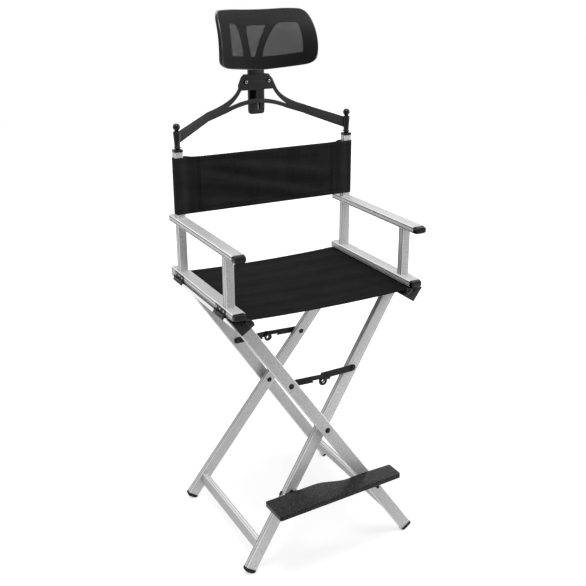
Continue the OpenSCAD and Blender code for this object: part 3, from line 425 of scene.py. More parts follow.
def headrest_net_cloth(name, pitch=0.0013, thread=0.37):
    """Black knitted net: threads on the piece's UV map, open between them."""
    material, n, into, spot = new_finish(name)
    sway = n.times(n.noise(spot["UV"], 160.0, 2.0), 0.5)
    u, v = (n.maths("ADD", n.maths("DIVIDE", way, pitch), sway)
            for way in n.split(spot["UV"])[:2])
    gap = n.maths("MINIMUM", *(
        n.maths("ABSOLUTE", n.maths("SUBTRACT", n.maths("FRACT", n.maths(sign, u, v)), 0.5))
        for sign in ("ADD", "SUBTRACT")))
    uneven = n.spread(n.noise(spot["UV"], 330.0, 2.0), 0.3, 0.7, thread - 0.06, thread + 0.06)
    n.set(into["Alpha"], n.maths("LESS_THAN", gap, uneven))
    wide = n.noise(spot["Object"], 30.0, 3.0, 0.6)
    n.set(into["Base Color"], n.blend(
        n.spread(wide, 0.3, 0.7), (0.006, 0.006, 0.0063, 1), (0.010, 0.010, 0.0104, 1)))
    n.set(into["Roughness"], n.spread(wide, 0.3, 0.7, 0.55, 0.7))
    into["Specular IOR Level"].default_value = 0.2
    bump(n, into, n.maths("SUBTRACT", 0.5, gap), 0.3, 0.0003)
    return material


def bright_steel(name):
    material, n, into, spot = new_finish(name)
    height, sheen = n.group("fine grain", Vector=spot["Object"], Pebbles=2600.0)
    n.set(into["Base Color"], n.blend(sheen, (0.5, 0.5, 0.51, 1), (0.64, 0.64, 0.65, 1)))
    into["Metallic"].default_value = 1.0
    n.set(into["Roughness"], n.spread(sheen, 0, 1, 0.24, 0.4))
    bump(n, into, height, 0.1, 0.0001)
    return material


drawn_lines_group()
fine_grain_group()
plain_weave_group()
settled_dust_group()

ALONG_Y = (math.pi / 2, 0, 0)
# The tints of these copies of one aluminium are painted light and shade: the inner legs lighter,
# the rails a little darker and the cross rails darker than the outer legs and posts
LEFT_LEG = satin_aluminium("aluminium, outer legs", (0, LEG_ANGLE, 0))
RIGHT_LEG = satin_aluminium("aluminium, inner legs", (0, -LEG_ANGLE, 0), 1.08, mottle=0.85)
UPRIGHT = satin_aluminium("aluminium, posts", (0, 0, 0))
LENGTHWISE = satin_aluminium("aluminium, rails", ALONG_Y, 0.96, mottle=0.85)
# The seat rails' copy is glossier and less mottled: partly a real finish, partly a painted lighter
# tone for the light on their sloping top
GLOSSY_PAINTED_LIGHT_RAILS = satin_aluminium("aluminium, seat rails", ALONG_Y, 0.94, 0.85, 0.32, 0.25)
CROSSWISE = satin_aluminium("aluminium, cross rails", ALONG_Y, 0.86)
COAT = black_finish("black powder coat", (0.017, 0.017, 0.018), 0.42, 1300.0, 0.25, spec=0.22)
PLASTIC = black_finish("black moulded plastic", (0.012, 0.012, 0.0125), 0.36, 1500.0, 0.15,
                       spec=0.25)
GLOSS = black_finish("glossy black plastic", (0.004, 0.004, 0.0042), 0.14, 600.0, 0.04, coat=0.12,
                     dust=0.05, spec=0.3)
RUBBER = black_finish("black rubber", (0.012, 0.012, 0.012), 0.62, 1000.0, 0.3, spec=0.2)
GREY = black_finish("grey moulded plastic", (0.50, 0.50, 0.505), 0.45, 1500.0, 0.15, dust=0.1)
DECK = black_finish("grained footboard plastic", (0.0045, 0.0045, 0.0047), 0.27, 420.0, 0.8,
                    dust=0.1, spec=0.16, flecks=1.0)
SATIN = black_finish("satin grey-black coat", (0.054, 0.054, 0.0555), 0.5, 1300.0, 0.2,
                     spec=0.12)
SLIDER = black_finish("dark grey moulded nylon", (0.034, 0.034, 0.0353), 0.42, 1500.0, 0.15,
                      spec=0.2)
PIPING = black_finish("piping of the headrest", (0.016, 0.016, 0.0165), 0.2, 900.0, 0.1, coat=0.6,
                      dust=0.1, spec=0.6)
RIM = black_finish("headrest plastic", (0.005, 0.005, 0.0053), 0.5, 1500.0, 0.15, dust=0.15,
                   spec=0.2)
# Painted shade: a near-black finish for blocks and discs put in recesses, bores and sockets where
# there is only shade
PAINTED_HOLLOW_SHADE = black_finish("unlit hollow", (0.004, 0.004, 0.004), 0.8, 900.0, 0.1, dust=0.0, spec=0.02)
# One canvas in two copies: the back's is painted lighter and the seat's darker, as painted light
# and shade
CANVAS = black_canvas("black canvas of the back", 1.55)
SEAT_CANVAS = black_canvas("black canvas of the seat", 0.62)
NET = headrest_net_cloth("black headrest net")
STEEL = bright_steel("zinc plated steel")

FINISH_OF = {
    "satin_aluminium": LENGTHWISE, "black_plastic": PLASTIC, "grey_plastic": GREY,
    "black_rubber": RUBBER, "black_steel": COAT, "bright_steel": STEEL,
    "black_canvas": CANVAS, "black_mesh": CANVAS, "footboard_plastic": DECK,
}


# ------------------------ Ways of making a piece

def start(name, add, **settings):
    """A new primitive under its name, alone selected, its place and size in its mesh."""
    bpy.ops.object.select_all(action="DESELECT")
    add(**settings)
    bpy.ops.object.transform_apply(location=True, rotation=True, scale=True)
    piece = bpy.context.object
    piece.name = piece.data.name = name
    return piece


def only(piece):
    """Deselects everything and makes this piece the active one."""
    bpy.ops.object.select_all(action="DESELECT")
    piece.select_set(True)
    bpy.context.view_layer.objects.active = piece


def edit(piece, kind="FACE"):
    """Enters edit mode with the whole piece selected."""
    only(piece)
    bpy.ops.object.mode_set(mode="EDIT")
    bpy.ops.mesh.select_mode(type=kind)
    bpy.ops.mesh.select_all(action="SELECT")


def leave_edit():
    bpy.ops.object.mode_set(mode="OBJECT")


def pick(piece, parts, wanted):
    """Selects the faces or edges of the piece in edit mode that wanted(part) accepts."""
    bpy.ops.mesh.select_all(action="DESELECT")
    shape = bmesh.from_edit_mesh(piece.data)
    for part in getattr(shape, parts):
        part.select_set(bool(wanted(part)))
    bmesh.update_edit_mesh(piece.data)


def pick_faces(piece, wanted):
    """Selects the faces whose normal wanted(normal) accepts."""
    pick(piece, "faces", lambda face: wanted(face.normal))


def pick_edges(piece, wanted):
    """Selects the edges that wanted(one end, other end) accepts."""
    pick(piece, "edges", lambda edge: wanted(edge.verts[0].co, edge.verts[1].co))


def modify(piece, kind, **settings):
    """Gives the piece a modifier with its settings, and applies it."""
    modifier = piece.modifiers.new(kind.lower(), kind)
    for name, value in settings.items():
        setattr(modifier, name, value)
    only(piece)
    bpy.ops.object.modifier_apply(modifier=modifier.name)


def bevel_edges(piece, width, segments=2, angle=32):
    modify(piece, "BEVEL", width=width, segments=segments, limit_method="ANGLE",
           angle_limit=math.radians(angle), harden_normals=False)


def thicken(piece, thickness, offset=0.0):
    modify(piece, "SOLIDIFY", thickness=thickness, offset=offset)


def smooth(piece, angle=40):
    only(piece)
    bpy.ops.object.shade_smooth_by_angle(angle=math.radians(angle))


def outward(piece):
    """Recalculates the normals so that they point out of a closed shape."""
    edit(piece)
    bpy.ops.mesh.normals_make_consistent(inside=False)
    leave_edit()


def dress(piece, node, finish, *stands_for, slot=None):
    """Gives a finished piece its material, and the body of a node of the frame."""
    piece.data.materials.clear()
    piece.data.materials.append(finish)
    if stands_for:
        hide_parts(*stands_for)
    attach(piece, body_of[node])
    slot or slot_of[node]
    return piece


def join(pieces, name):
    only(pieces[0])
    for piece in pieces:
        piece.select_set(True)
    bpy.ops.object.join()
    joined = bpy.context.object
    joined.name = joined.data.name = name
    return joined


def move_points(piece, spots):
    piece.data.vertices.foreach_set("co", [c for spot in spots for c in spot])


def sheet_mesh(name, rows):
    """A grid moved onto rows of points: each has its place, its spot on the piece's own UV map
    in metres, and the cloth's painted light or shade there."""
    piece = start(name, bpy.ops.mesh.primitive_grid_add, x_subdivisions=len(rows[0]) - 1,
                  y_subdivisions=len(rows) - 1, calc_uvs=False)
    spots, flat, painted_shadings = zip(*(point for row in rows for point in row))
    move_points(piece, spots)
    layer = piece.data.uv_layers.new(name="cloth")
    for loop in piece.data.loops:
        layer.data[loop.index].uv = flat[loop.vertex_index]
    if any(painted_shadings):
        piece.data.attributes.new("painted_shading", "FLOAT", "POINT").data.foreach_set("value", painted_shadings)
    return piece


def wire(name, spots):
    """A closed line through the spots, from a circle with as many points."""
    line = start(name, bpy.ops.mesh.primitive_circle_add, vertices=len(spots),
                 fill_type="NOTHING", calc_uvs=False)
    move_points(line, spots)
    return line


def loft(name, low, high, marks=None):
    """A solid between two outlines of as many points: a filled circle is extruded, and both
    its rims are moved onto them. The marks of the points go into an attribute."""
    def turn(vertex):
        return round(vertex.co.x, 4), round(vertex.co.y, 4)
    piece = start(name, bpy.ops.mesh.primitive_circle_add, vertices=len(low), radius=1,
                  fill_type="NGON", calc_uvs=False)
    at = {turn(vertex): k for k, vertex in enumerate(piece.data.vertices)}
    edit(piece)
    bpy.ops.mesh.extrude_region_move(TRANSFORM_OT_translate={"value": (0, 0, 1)})
    leave_edit()
    order = [at[turn(vertex)] for vertex in piece.data.vertices]
    if marks:
        line = piece.data.attributes.new("line", "FLOAT", "POINT")
        line.data.foreach_set("value", [marks[k] for k in order])
    move_points(piece, [(high if vertex.co.z > 0.5 else low)[k]
                        for vertex, k in zip(piece.data.vertices, order)])
    outward(piece)
    return piece


def eased_loft(name, low, high, ease, segments=2):
    piece = loft(name, low, high)
    bevel_edges(piece, ease, segments, 25)
    smooth(piece)
    return piece


def prism(name, outline, front, rear, ease, segments=2):
    """An outline in X and Z, drawn out from front to rear, its edges eased."""
    return eased_loft(name, [place(x, front, z) for x, z in outline],
                      [place(x, rear, z) for x, z in outline], ease, segments)


def box(left, low, right, high):
    return [(left, low), (right, low), (right, high), (left, high)]


def recessed_head(name, spot, axis, radius, height, recess=0.45, sides=20):
    """A fastener's head at a spot, its axis outward, with a round recess in it."""
    head = start(name, bpy.ops.mesh.primitive_cylinder_add, vertices=sides,
                 radius=radius / 1000, depth=height / 1000, location=(0, 0, height / 2000))
    edit(head)
    pick_faces(head, lambda normal: normal.z > 0.9)
    bpy.ops.mesh.inset(thickness=radius * 0.22 / 1000)
    bpy.ops.transform.translate(value=(0, 0, radius * 0.08 / 1000))
    if recess:
        bpy.ops.mesh.inset(thickness=radius * (0.78 - recess) / 1000)
        bpy.ops.mesh.extrude_region_move(
            TRANSFORM_OT_translate={"value": (0, 0, -height * 0.7 / 1000)})
    leave_edit()
    turn = Vector(axis).to_track_quat("Z", "Y").to_matrix().to_4x4()
    head.data.transform(Matrix.Translation(spot) @ turn)
    smooth(head)
    return head


def eased(node, finish, width):
    """A copy of a CAD piece with its sharp edges eased, which stands for it."""
    piece = stand(node + "_eased", nodes[node].data.copy())
    edit(piece)
    bpy.ops.mesh.customdata_custom_splitnormals_clear()
    bpy.ops.mesh.remove_doubles(threshold=0.00001)
    bpy.ops.mesh.dissolve_limited(angle_limit=math.radians(0.6))
    leave_edit()
    bevel_edges(piece, width)
    smooth(piece, 35)
    return dress(piece, node, finish, node)


# ------------------------ Canvas

CLOTH_T = 0.0009
CHANNEL_X, CHANNEL_Z = 252.266, 719.0
RAIL_TOP, RAIL_INNER_X = 731.0, 225.08
SEAT_SAG, SEAT_HEM = 5.0, 15.0
SEAT_FRONT, SEAT_REAR = -209.0, 202.0
# Tension folds of the seat: place, width, height, lean and bow, in millimetres
SEAT_FOLDS = [
    (-172, 7, 0.8, 0.010, 3), (-141, 11, -1.0, -0.020, 6), (-108, 9, 0.9, 0.015, -4),
    (-67, 15, -1.3, -0.018, 8), (-31, 10, 0.8, 0.024, -6), (14, 16, -1.2, 0.010, 7),
    (58, 11, 0.9, -0.022, -5), (97, 14, -1.1, 0.016, 6), (139, 9, 0.9, -0.012, 4),
    (171, 8, -0.6, 0.012, -3),
]


def ridges(folds, across, along):
    """Height of a set of soft folds that run across the cloth."""
    return sum(high * math.exp(-((along - spot - lean * across - bow * (across / 225) ** 2)
                                 / width) ** 2)
               for spot, width, high, lean, bow in folds)


def hem_shade(spot, front, rear, hem):
    """The dark lines of a hem's stitching near both ends of a cloth."""
    return sum(math.exp(-((spot - line) / 1.5) ** 2) for line in (front + hem, rear - hem)) * 0.7


def hemmed(front, rear, hem, drop, steps):
    """Places along a sheet whose two ends are turned under: (place, drop) pairs."""
    under = [(hem * k / 5, drop) for k in range(5, 0, -1)]
    turn = [(0.55, drop), (0.1, drop * 0.75), (0.0, drop * 0.5), (0.1, drop * 0.25)]
    first = [(front + a, d) for a, d in under + turn]
    last = [(rear - a, d) for a, d in reversed(under + turn)]
    middle = [(front + 0.55 + (rear - front - 1.1) * k / steps, 0) for k in range(steps + 1)]
    return first + middle + last


def hung_cloth(name, section, along, spot_of, painted_shading_of, finish):
    """A hemmed cloth and its width in metres: its section's points are placed by
    spot_of(a, b, place, drop), and given painted light and shade by the other function of (a,
    place)."""
    runs = [0.0]
    for (a, b), (c, d) in zip(section, section[1:]):
        runs.append(runs[-1] + math.hypot(c - a, d - b))
    piece = sheet_mesh(name, [[
        (spot_of(a, b, spot, drop), ((run - runs[-1] / 2) / 1000, (spot + drop * 12) / 1000),
         painted_shading_of(a, spot)) for (a, b), run in zip(section, runs)] for spot, drop in along])
    thicken(piece, CLOTH_T)
    smooth(piece, 60)
    piece.data.materials.append(finish)
    return piece, runs[-1] / 1000


def seat_cloth():
    """The seat: hemmed in front and behind, slung between the rails, sewn round its rods."""
    top = RAIL_TOP + 1.55
    ring = 3.1
    loop = [(CHANNEL_X + ring * math.sin(a), CHANNEL_Z + ring * math.cos(a))
            for a in [math.radians(d) for d in range(340, 9, -30)]]
    stem = [(CHANNEL_X, CHANNEL_Z + 4.4), (CHANNEL_X, RAIL_TOP - 1.5), (CHANNEL_X - 0.3, top - 0.9),
            (CHANNEL_X - 1.2, top - 0.15), (CHANNEL_X - 2.4, top)]
    side = loop + stem
    steps = 72
    flat = [((CHANNEL_X - 4) * (1 - 2 * k / steps), top) for k in range(steps + 1)]
    section = side + flat + [(-x, z) for x, z in reversed(side)]

    def spot_of(x, z, y, drop):
        if z > top - 0.05:
            inside = max(0.0, 1 - (x / RAIL_INNER_X) ** 2)
            fold = ridges(SEAT_FOLDS, x, y) * min(1.0, inside * 2.2)
            return place(x, y, z - SEAT_SAG * inside + fold + drop)
        return place(x, min(max(y, -206.2), SEAT_REAR - 0.4), z + (drop if z > RAIL_TOP else 0))

    # Painted light on the folds' crests, painted shade in their troughs and on the hems' stitching
    def painted_shading_of(x, y):
        return 0.22 * ridges(SEAT_FOLDS, x, y) - hem_shade(y, SEAT_FRONT, SEAT_REAR, SEAT_HEM)
    along = hemmed(SEAT_FRONT, SEAT_REAR, SEAT_HEM, -1.05, 96)
    piece, wide = hung_cloth("seat_cloth", section, along, spot_of, painted_shading_of, SEAT_CANVAS)
    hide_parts("seat_canvas")
    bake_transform(piece)


BACK_LOW, BACK_HIGH, BACK_HEM = 911.0, 1062.0, 13.0
# The seam between the panel and a sleeve, and the line of stitches beside it
STITCH_X, STITCH_IN = 205.0, 199.5
BACK_FOLDS = [
    (925, 10, 1.0, -0.10, 4), (948, 15, -1.5, -0.22, -8), (972, 13, 1.4, -0.26, 5),
    (997, 17, -1.6, -0.20, 8), (1024, 12, 1.3, -0.15, -6), (1046, 9, -0.8, -0.08, 3),
]


def back_strip(name, section, body, panel=False):
    """A strip of the back canvas over its section seen from above, hemmed below and above."""
    def inside(x):
        return max(0.0, 1 - (x / STITCH_X) ** 2)

    def spot_of(x, y, z, drop):
        wave = ridges(BACK_FOLDS, x, z) * min(1, inside(x) * 2.5) if panel else 0
        behind = 0.95 * (drop if y < REAR_POST_Y - 4 else -drop)
        return place(x, y + wave + behind, z)

    # Painted light on the folds and where each sleeve wraps its post; painted shade in the troughs,
    # on the seams, beside each post and on the hems' stitching
    def painted_shading_of(x, z):
        seam = sum(math.exp(-((abs(x) - line) / 1.1) ** 2) for line in (STITCH_IN, STITCH_X))
        post = math.exp(-((abs(x) - 243) / 9) ** 2) - 0.8 * math.exp(-((abs(x) - 226) / 8) ** 2)
        return (0.3 * ridges(BACK_FOLDS, x, z) * (0.3 + 0.7 * min(1, inside(x) * 2))
                - 1.1 * seam + 0.5 * post - hem_shade(z, BACK_LOW, BACK_HIGH, BACK_HEM))
    piece, wide = hung_cloth(name, section, hemmed(BACK_LOW, BACK_HIGH, BACK_HEM, 1.0, 40),
                             spot_of, painted_shading_of, CANVAS)
    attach(piece, body)
    return piece


def back_cloth():
    """The back: a panel, and at each side a sleeve round the post, sewn along an upright seam."""
    front = REAR_POST_Y - POST_D / 2 - 0.9
    rear = REAR_POST_Y + POST_D / 2 + 0.9
    outer = ARM_X + POST_W / 2 + 1.7
    inner = ARM_X - POST_W / 2 - 1.4
    steps = 64
    middle = [194 * (2 * k / steps - 1) for k in range(steps + 1)]
    edge = [195.5, 197, 198.5, STITCH_IN, 200.5, 202, 203.5, 204.3, STITCH_X]
    spots = [-x for x in reversed(edge)] + middle + edge
    flat = [(x, front + 0.35 * (abs(x) > STITCH_X - 1 or 199 < abs(x) < 200)) for x in spots]
    panel = back_strip("back_panel", flat, "left_arm", True)
    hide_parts("back_canvas")
    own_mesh(panel)
    sleeve = [(STITCH_X - 6, front + 1.3), (STITCH_X, front + 1.3), (STITCH_X + 5, front + 1.9),
              (STITCH_X + 14, front + 5.2), (STITCH_X + 24, rear - 5.0), (inner - 4, rear - 1.2),
              (inner + 2, rear - 0.1), (ARM_X, rear + 0.2), (outer - 4.5, rear),
              (outer - 1.6, rear - 0.6), (outer - 0.4, rear - 2.2), (outer, rear - 5),
              (outer + 0.1, REAR_POST_Y), (outer, front + 5), (outer - 0.4, front + 2.2),
              (outer - 1.6, front + 0.6), (outer - 4.5, front), (ARM_X, front - 0.15),
              (inner + 2, front + 0.05), (STITCH_X + 16, front + 0.1), (STITCH_X + 6, front),
              (STITCH_X + 2.5, front + 0.1), (STITCH_X + 1.2, front + 0.15),
              (STITCH_X, front + 0.35)]
    back_strip("back_sleeve_left", [(-x, y) for x, y in reversed(sleeve)], "left_arm")
    back_strip("back_sleeve_right", sleeve, "right_arm")


# ------------------------ Headrest

PAD_FRONT, PAD_SWEEP, PAD_BULGE, BULGE_Z = 155.0, 284.0, 120.0, 1325.0
TILT_Y, TILT_Z = 230.0, 1288.0
V_LEAN = math.radians(14)
PAD_OUTLINE = [
    (0, 1271.2), (40, 1273.2), (80, 1277.0), (112, 1281.5), (124, 1285.0), (132, 1290.5),
    (136.6, 1298), (138.4, 1308), (139.0, 1325), (138.6, 1345), (137.0, 1370), (134.6, 1393),
    (132.2, 1406), (128.2, 1415.5), (121.0, 1421.0), (110, 1423.0), (80, 1423.6), (40, 1422.2),
    (0, 1421.6)]
RIM_WINDOW = [
    (0, 1303.5), (40, 1304.8), (75, 1308.6), (98, 1312.2), (102.6, 1314.2), (103.6, 1319),
    (103.9, 1334), (103.4, 1356), (101.4, 1377), (99.0, 1390.5), (96.4, 1394.2), (91, 1395.0),
    (75, 1394.6), (52, 1393.2), (25, 1392.4), (0, 1392.2)]
V_OUTER = [
    (24.5, 1283), (26.2, 1294.2), (28.4, 1307.5), (32.4, 1325), (38.8, 1345), (45.0, 1361),
    (52.5, 1374), (58.5, 1381.5), (66, 1387), (78, 1390)]
V_INNER = [
    (29.4, 1378.6), (27.6, 1370), (25.2, 1362), (19.4, 1345.5), (14.4, 1328.2), (10.6, 1314.5),
    (7.2, 1300.5), (5.2, 1290.0)]


def on_pad(x, z, behind=0.0):
    """A point of the headrest's curved face, or at a depth behind it."""
    centre = PAD_FRONT - PAD_SWEEP
    depth = PAD_FRONT + PAD_BULGE - math.sqrt(
        PAD_BULGE ** 2 - min(abs(z - BULGE_Z), 0.9 * PAD_BULGE) ** 2)
    return place(x, centre + math.sqrt((depth + behind - centre) ** 2 - x ** 2), z)


def on_v_bars(x, z, behind=0.0):
    bow = 6.5 * math.sin(math.pi * min(1.0, max(0.0, (z - TILT_Z) / 105)))
    return place(x, TILT_Y - (z - TILT_Z) * math.tan(V_LEAN) + bow + behind, z)


def smooth_line(points, closed=False, steps=4):
    """More points on a soft curve through the given ones."""
    found = []
    count = len(points)
    for i in range(count if closed else count - 1):
        a, b, c, d = [points[(i + k) % count] if closed else
                      points[min(max(i + k, 0), count - 1)] for k in (-1, 0, 1, 2)]
        for k in range(steps):
            t = k / steps
            found.append(tuple(
                0.5 * (2 * q + (r - p) * t + (2 * p - 5 * q + 4 * r - s) * t ** 2
                       + (3 * q - p - 3 * r + s) * t ** 3) for p, q, r, s in zip(a, b, c, d)))
    if not closed:
        found.append(points[-1])
    return found


def both_sides(half):
    """A closed outline from its right half, whose ends lie in the middle."""
    return half + [(-x, z) for x, z in reversed(half[1:-1])]


def flat_shape(name, outlines, spacing):
    """Filled outlines in X and Z, holes left open, cut up finely so that they can be curved."""
    piece = join([wire(name, [(x, 0, z) for x, z in outline]) for outline in outlines], name)
    points = [point for outline in outlines for point in outline]
    edit(piece, "EDGE")
    bpy.ops.mesh.fill(use_beauty=True)
    for k, way in ((0, (1, 0, 0)), (1, (0, 0, 1))):
        spot = min(point[k] for point in points) + spacing
        while spot < max(point[k] for point in points):
            bpy.ops.mesh.select_all(action="SELECT")
            bpy.ops.mesh.bisect(plane_co=[c * spot for c in way], plane_no=way)
            spot += spacing
    bpy.ops.mesh.select_all(action="SELECT")
    bpy.ops.mesh.remove_doubles(threshold=0.02)
    leave_edit()
    return piece


def curved_shape(name, outlines, spacing, where, behind=0.0):
    """A flat shape moved onto a curved face that points at the sitter, with a UV map in
    metres."""
    piece = flat_shape(name, outlines, spacing)
    mesh = piece.data
    layer = mesh.uv_layers.new(name="cloth")
    for loop in mesh.loops:
        spot = mesh.vertices[loop.vertex_index].co
        layer.data[loop.index].uv = (spot.x / 1000 * 1.03, spot.z / 1000)
    for vertex in mesh.vertices:
        vertex.co = where(vertex.co.x, vertex.co.z, behind)
    mesh.update()
    outward(piece)
    if sum(face.normal.y * face.area for face in mesh.polygons) > 0:
        edit(piece)
        bpy.ops.mesh.flip_normals()
        leave_edit()
    return piece


def moulded(name, outlines, spacing, where, behind, thickness, ease, *stands_for):
    """A curved plastic part of the headrest with eased edges."""
    piece = curved_shape(name, outlines, spacing, where, behind)
    thicken(piece, thickness, -1.0)
    bevel_edges(piece, ease, 3, 50)
    smooth(piece, 45)
    dress(piece, "headrest_frame", RIM, *stands_for)


def headrest():
    # Both run down the right side, the other way than they are listed
    outer, window = (smooth_line(both_sides(line), closed=True)[::-1]
                     for line in (PAD_OUTLINE, RIM_WINDOW))
    net = curved_shape("headrest_net", [outer], 5.0, on_pad)
    smooth(net, 60)
    dress(net, "headrest_mesh", NET, "headrest_mesh")
    moulded("headrest_rim", [outer, window], 5.0, on_pad, 0.9, 0.0095, 0.0016, "headrest_frame")
    bar = [*reversed(smooth_line(V_OUTER) + [(82, 1400), (82, 1412), (40, 1413)])]
    foot = [(4.4, 1280), *reversed(smooth_line(V_INNER)), (26, 1381.0), (18, 1382.0)]
    moulded("headrest_v_bars", [both_sides([(0, 1413)] + bar + foot + [(0, 1382.2)])], 6.0,
            on_v_bars, -3.0, 0.006, 0.0011)


def tube_along(name, spots, outs, radius, sides=8):
    """A thin closed tube along spots; outs point away from the middle of its loop."""
    count = len(spots)
    rows, run = [], 0.0
    for k in range(count + 1):
        here, before, after = spots[k % count], spots[(k - 1) % count], spots[(k + 1) % count]
        way = (after - before).normalized()
        out = outs[k % count] - way * outs[k % count].dot(way)
        out.normalize()
        lift = way.cross(out)
        rows.append([(here + (out * math.cos(math.tau * j / sides)
                              + lift * math.sin(math.tau * j / sides)) * radius / 1000,
                      (run, j / sides), 0) for j in range(sides + 1)])
        run += (after - here).length
    piece = sheet_mesh(name, rows)
    edit(piece)
    bpy.ops.mesh.remove_doubles(threshold=0.000001)
    leave_edit()
    outward(piece)
    smooth(piece, 60)
    dress(piece, "headrest_frame", PIPING)


def headrest_piping():
    outer = smooth_line(both_sides(PAD_OUTLINE), closed=True)
    outs = [Vector((x, 0, z - 1348)).normalized() for x, z in outer]
    for name, behind, radius in (("headrest_piping", 1.0, 1.5), ("headrest_back_edge", 10.2, 1.1)):
        spots = [on_pad(x * 0.992, z + (0.9 if z < 1340 else -0.9), behind) for x, z in outer]
        tube_along(name, spots, outs, radius)


# ------------------------ Drawn tubes

RAIL_S, FOOT_L = 412.40, 428.73
CROSS_Z, CROSS_H = 66.5, 30.0
CROSS_LEAN = math.radians(12)
CROSS_S = (PIVOT_Z - CROSS_Z) / math.cos(LEG_ANGLE)
CROSS_X = (PIVOT_Z - CROSS_Z) * math.tan(LEG_ANGLE)
GROOVE_IN, GROOVE_W, GROOVE_DEEP = 2.8, 2.0, 1.3


def tube_profile(width, depth, corner=2.4, arc=6, deep=GROOVE_DEEP):
    """A drawn tube's outline: round corners, and two fine grooves on each narrow side. Each
    point has a mark: 1 on a corner's crest, -1 in a groove, 0 on the flats."""
    # The marks carry painted light: the aluminium paints crests as highlights and grooves as shade
    points = []
    for sx, sy, first_angle in ((1, 1, 0), (-1, 1, 90), (-1, -1, 180), (1, -1, 270)):
        cx, cy = sx * (width / 2 - corner), sy * (depth / 2 - corner)
        bend = [(cx + corner * math.cos(math.radians(first_angle + 90 * k / arc)),
                 cy + corner * math.sin(math.radians(first_angle + 90 * k / arc)),
                 1.0 if 0 < k < arc else 0.0) for k in range(arc + 1)]
        first, last = depth / 2 - GROOVE_IN, depth / 2 - GROOVE_IN - GROOVE_W
        floor = sx * (width / 2 - deep)
        dark = -min(1.0, deep / GROOVE_DEEP)
        groove = [(sx * width / 2, sy * first, 0.0), (floor, sy * (first - 0.2), dark),
                  (floor, sy * (last + 0.2), dark), (sx * width / 2, sy * last, 0.0)]
        points += list(reversed(groove)) + bend if sx * sy > 0 else bend + groove
    return points


def drawn_tube(node, profile, low, high, where, finish):
    """A tube between two ends; low and high give the end for a point of the profile."""
    piece = loft(node + "_drawn", [where(x, y, low(x, y)) for x, y, mark in profile],
                 [where(x, y, high(x, y)) for x, y, mark in profile],
                 [mark for x, y, mark in profile])
    smooth(piece, 28)
    dress(piece, node, finish, node)


def leg_place(side, end, row):
    """From a leg's own axes, in millimetres, to a place on the chair."""
    axes = (Matrix.Translation((0, 0, PIVOT_Z)) @ Matrix.Rotation(LEG_ANGLE, 4, "Y")
            @ Matrix.Translation((0, -row, 0)) @ Matrix.Rotation(-SPLAY, 4, "X"))

    def where(x, y, z):
        spot = axes @ Vector((x, y, z))
        return place(side * spot.x, -end * spot.y, spot.z)
    return where


def cross_section(x, y):
    """A point of a cross rail's section, which leans a little, from its middle."""
    return (x * math.sin(CROSS_LEAN) + y * math.cos(CROSS_LEAN),
            x * math.cos(CROSS_LEAN) - y * math.sin(CROSS_LEAN))


def legs():
    leg = tube_profile(TUBE_W, TUBE_T)

    def high(x, y):
        return (RAIL_S + y * math.sin(SPLAY)) / math.cos(SPLAY)
    for (name, side, row), finish in zip(FRAMES, (LEFT_LEG, RIGHT_LEG)):
        for end, which in ((-1, "_front_leg"), (1, "_rear_leg")):
            drawn_tube(name + which, leg, lambda x, y: -FOOT_L, high,
                       leg_place(side, end, row), finish)


def cross_rails():
    # Painted highlight: points on the top and bottom faces of each cross rail get mark 0.8, which
    # the aluminium paints nearly white
    rail = [(x, y, 0.8 if abs(x) > CROSS_H / 2 - 0.3 and mark >= 0 else mark)
            for x, y, mark in tube_profile(CROSS_H, TUBE_T, deep=0.35)]
    for name, side, row in FRAMES:
        def reach(x, y):
            out, up = cross_section(x, y)
            down = CROSS_S - out * math.sin(LEG_ANGLE) - up * math.cos(LEG_ANGLE)
            return row + down * math.tan(SPLAY) - TUBE_T / 2 / math.cos(SPLAY) + 0.05

        def on_rail(x, y, z):
            out, up = cross_section(x, y)
            return place(side * (out - CROSS_X), z, CROSS_Z + up)
        drawn_tube(name + "_cross_rail", rail, lambda x, y: -reach(x, y), reach, on_rail,
                   CROSSWISE)


def arm_tubes():
    """Each arm frame's armrest, base rail and two posts."""
    leg, post = tube_profile(TUBE_W, TUBE_T), tube_profile(POST_W, POST_D, 2.0)
    for side, name in SIDES:
        for part, front, rear, z in (("_armrest", ARMREST_FRONT, 200, ARMREST_Z),
                                     ("_base_rail", BASE_FRONT, 202, BASE_Z)):
            drawn_tube(name + part, leg, lambda x, y: front, lambda x, y: rear,
                       lambda x, y, along: place(side * ARM_X + x, along, z + y), LENGTHWISE)
        for part, spot, top in (("_front_post", FRONT_POST_Y, 883.5),
                                ("_rear_post", REAR_POST_Y, 1077)):
            drawn_tube(name + part, post, lambda x, y: 752, lambda x, y: top,
                       lambda x, y, z: place(side * ARM_X + x, spot + y, z), UPRIGHT)


# ------------------------ Caps, feet and finials

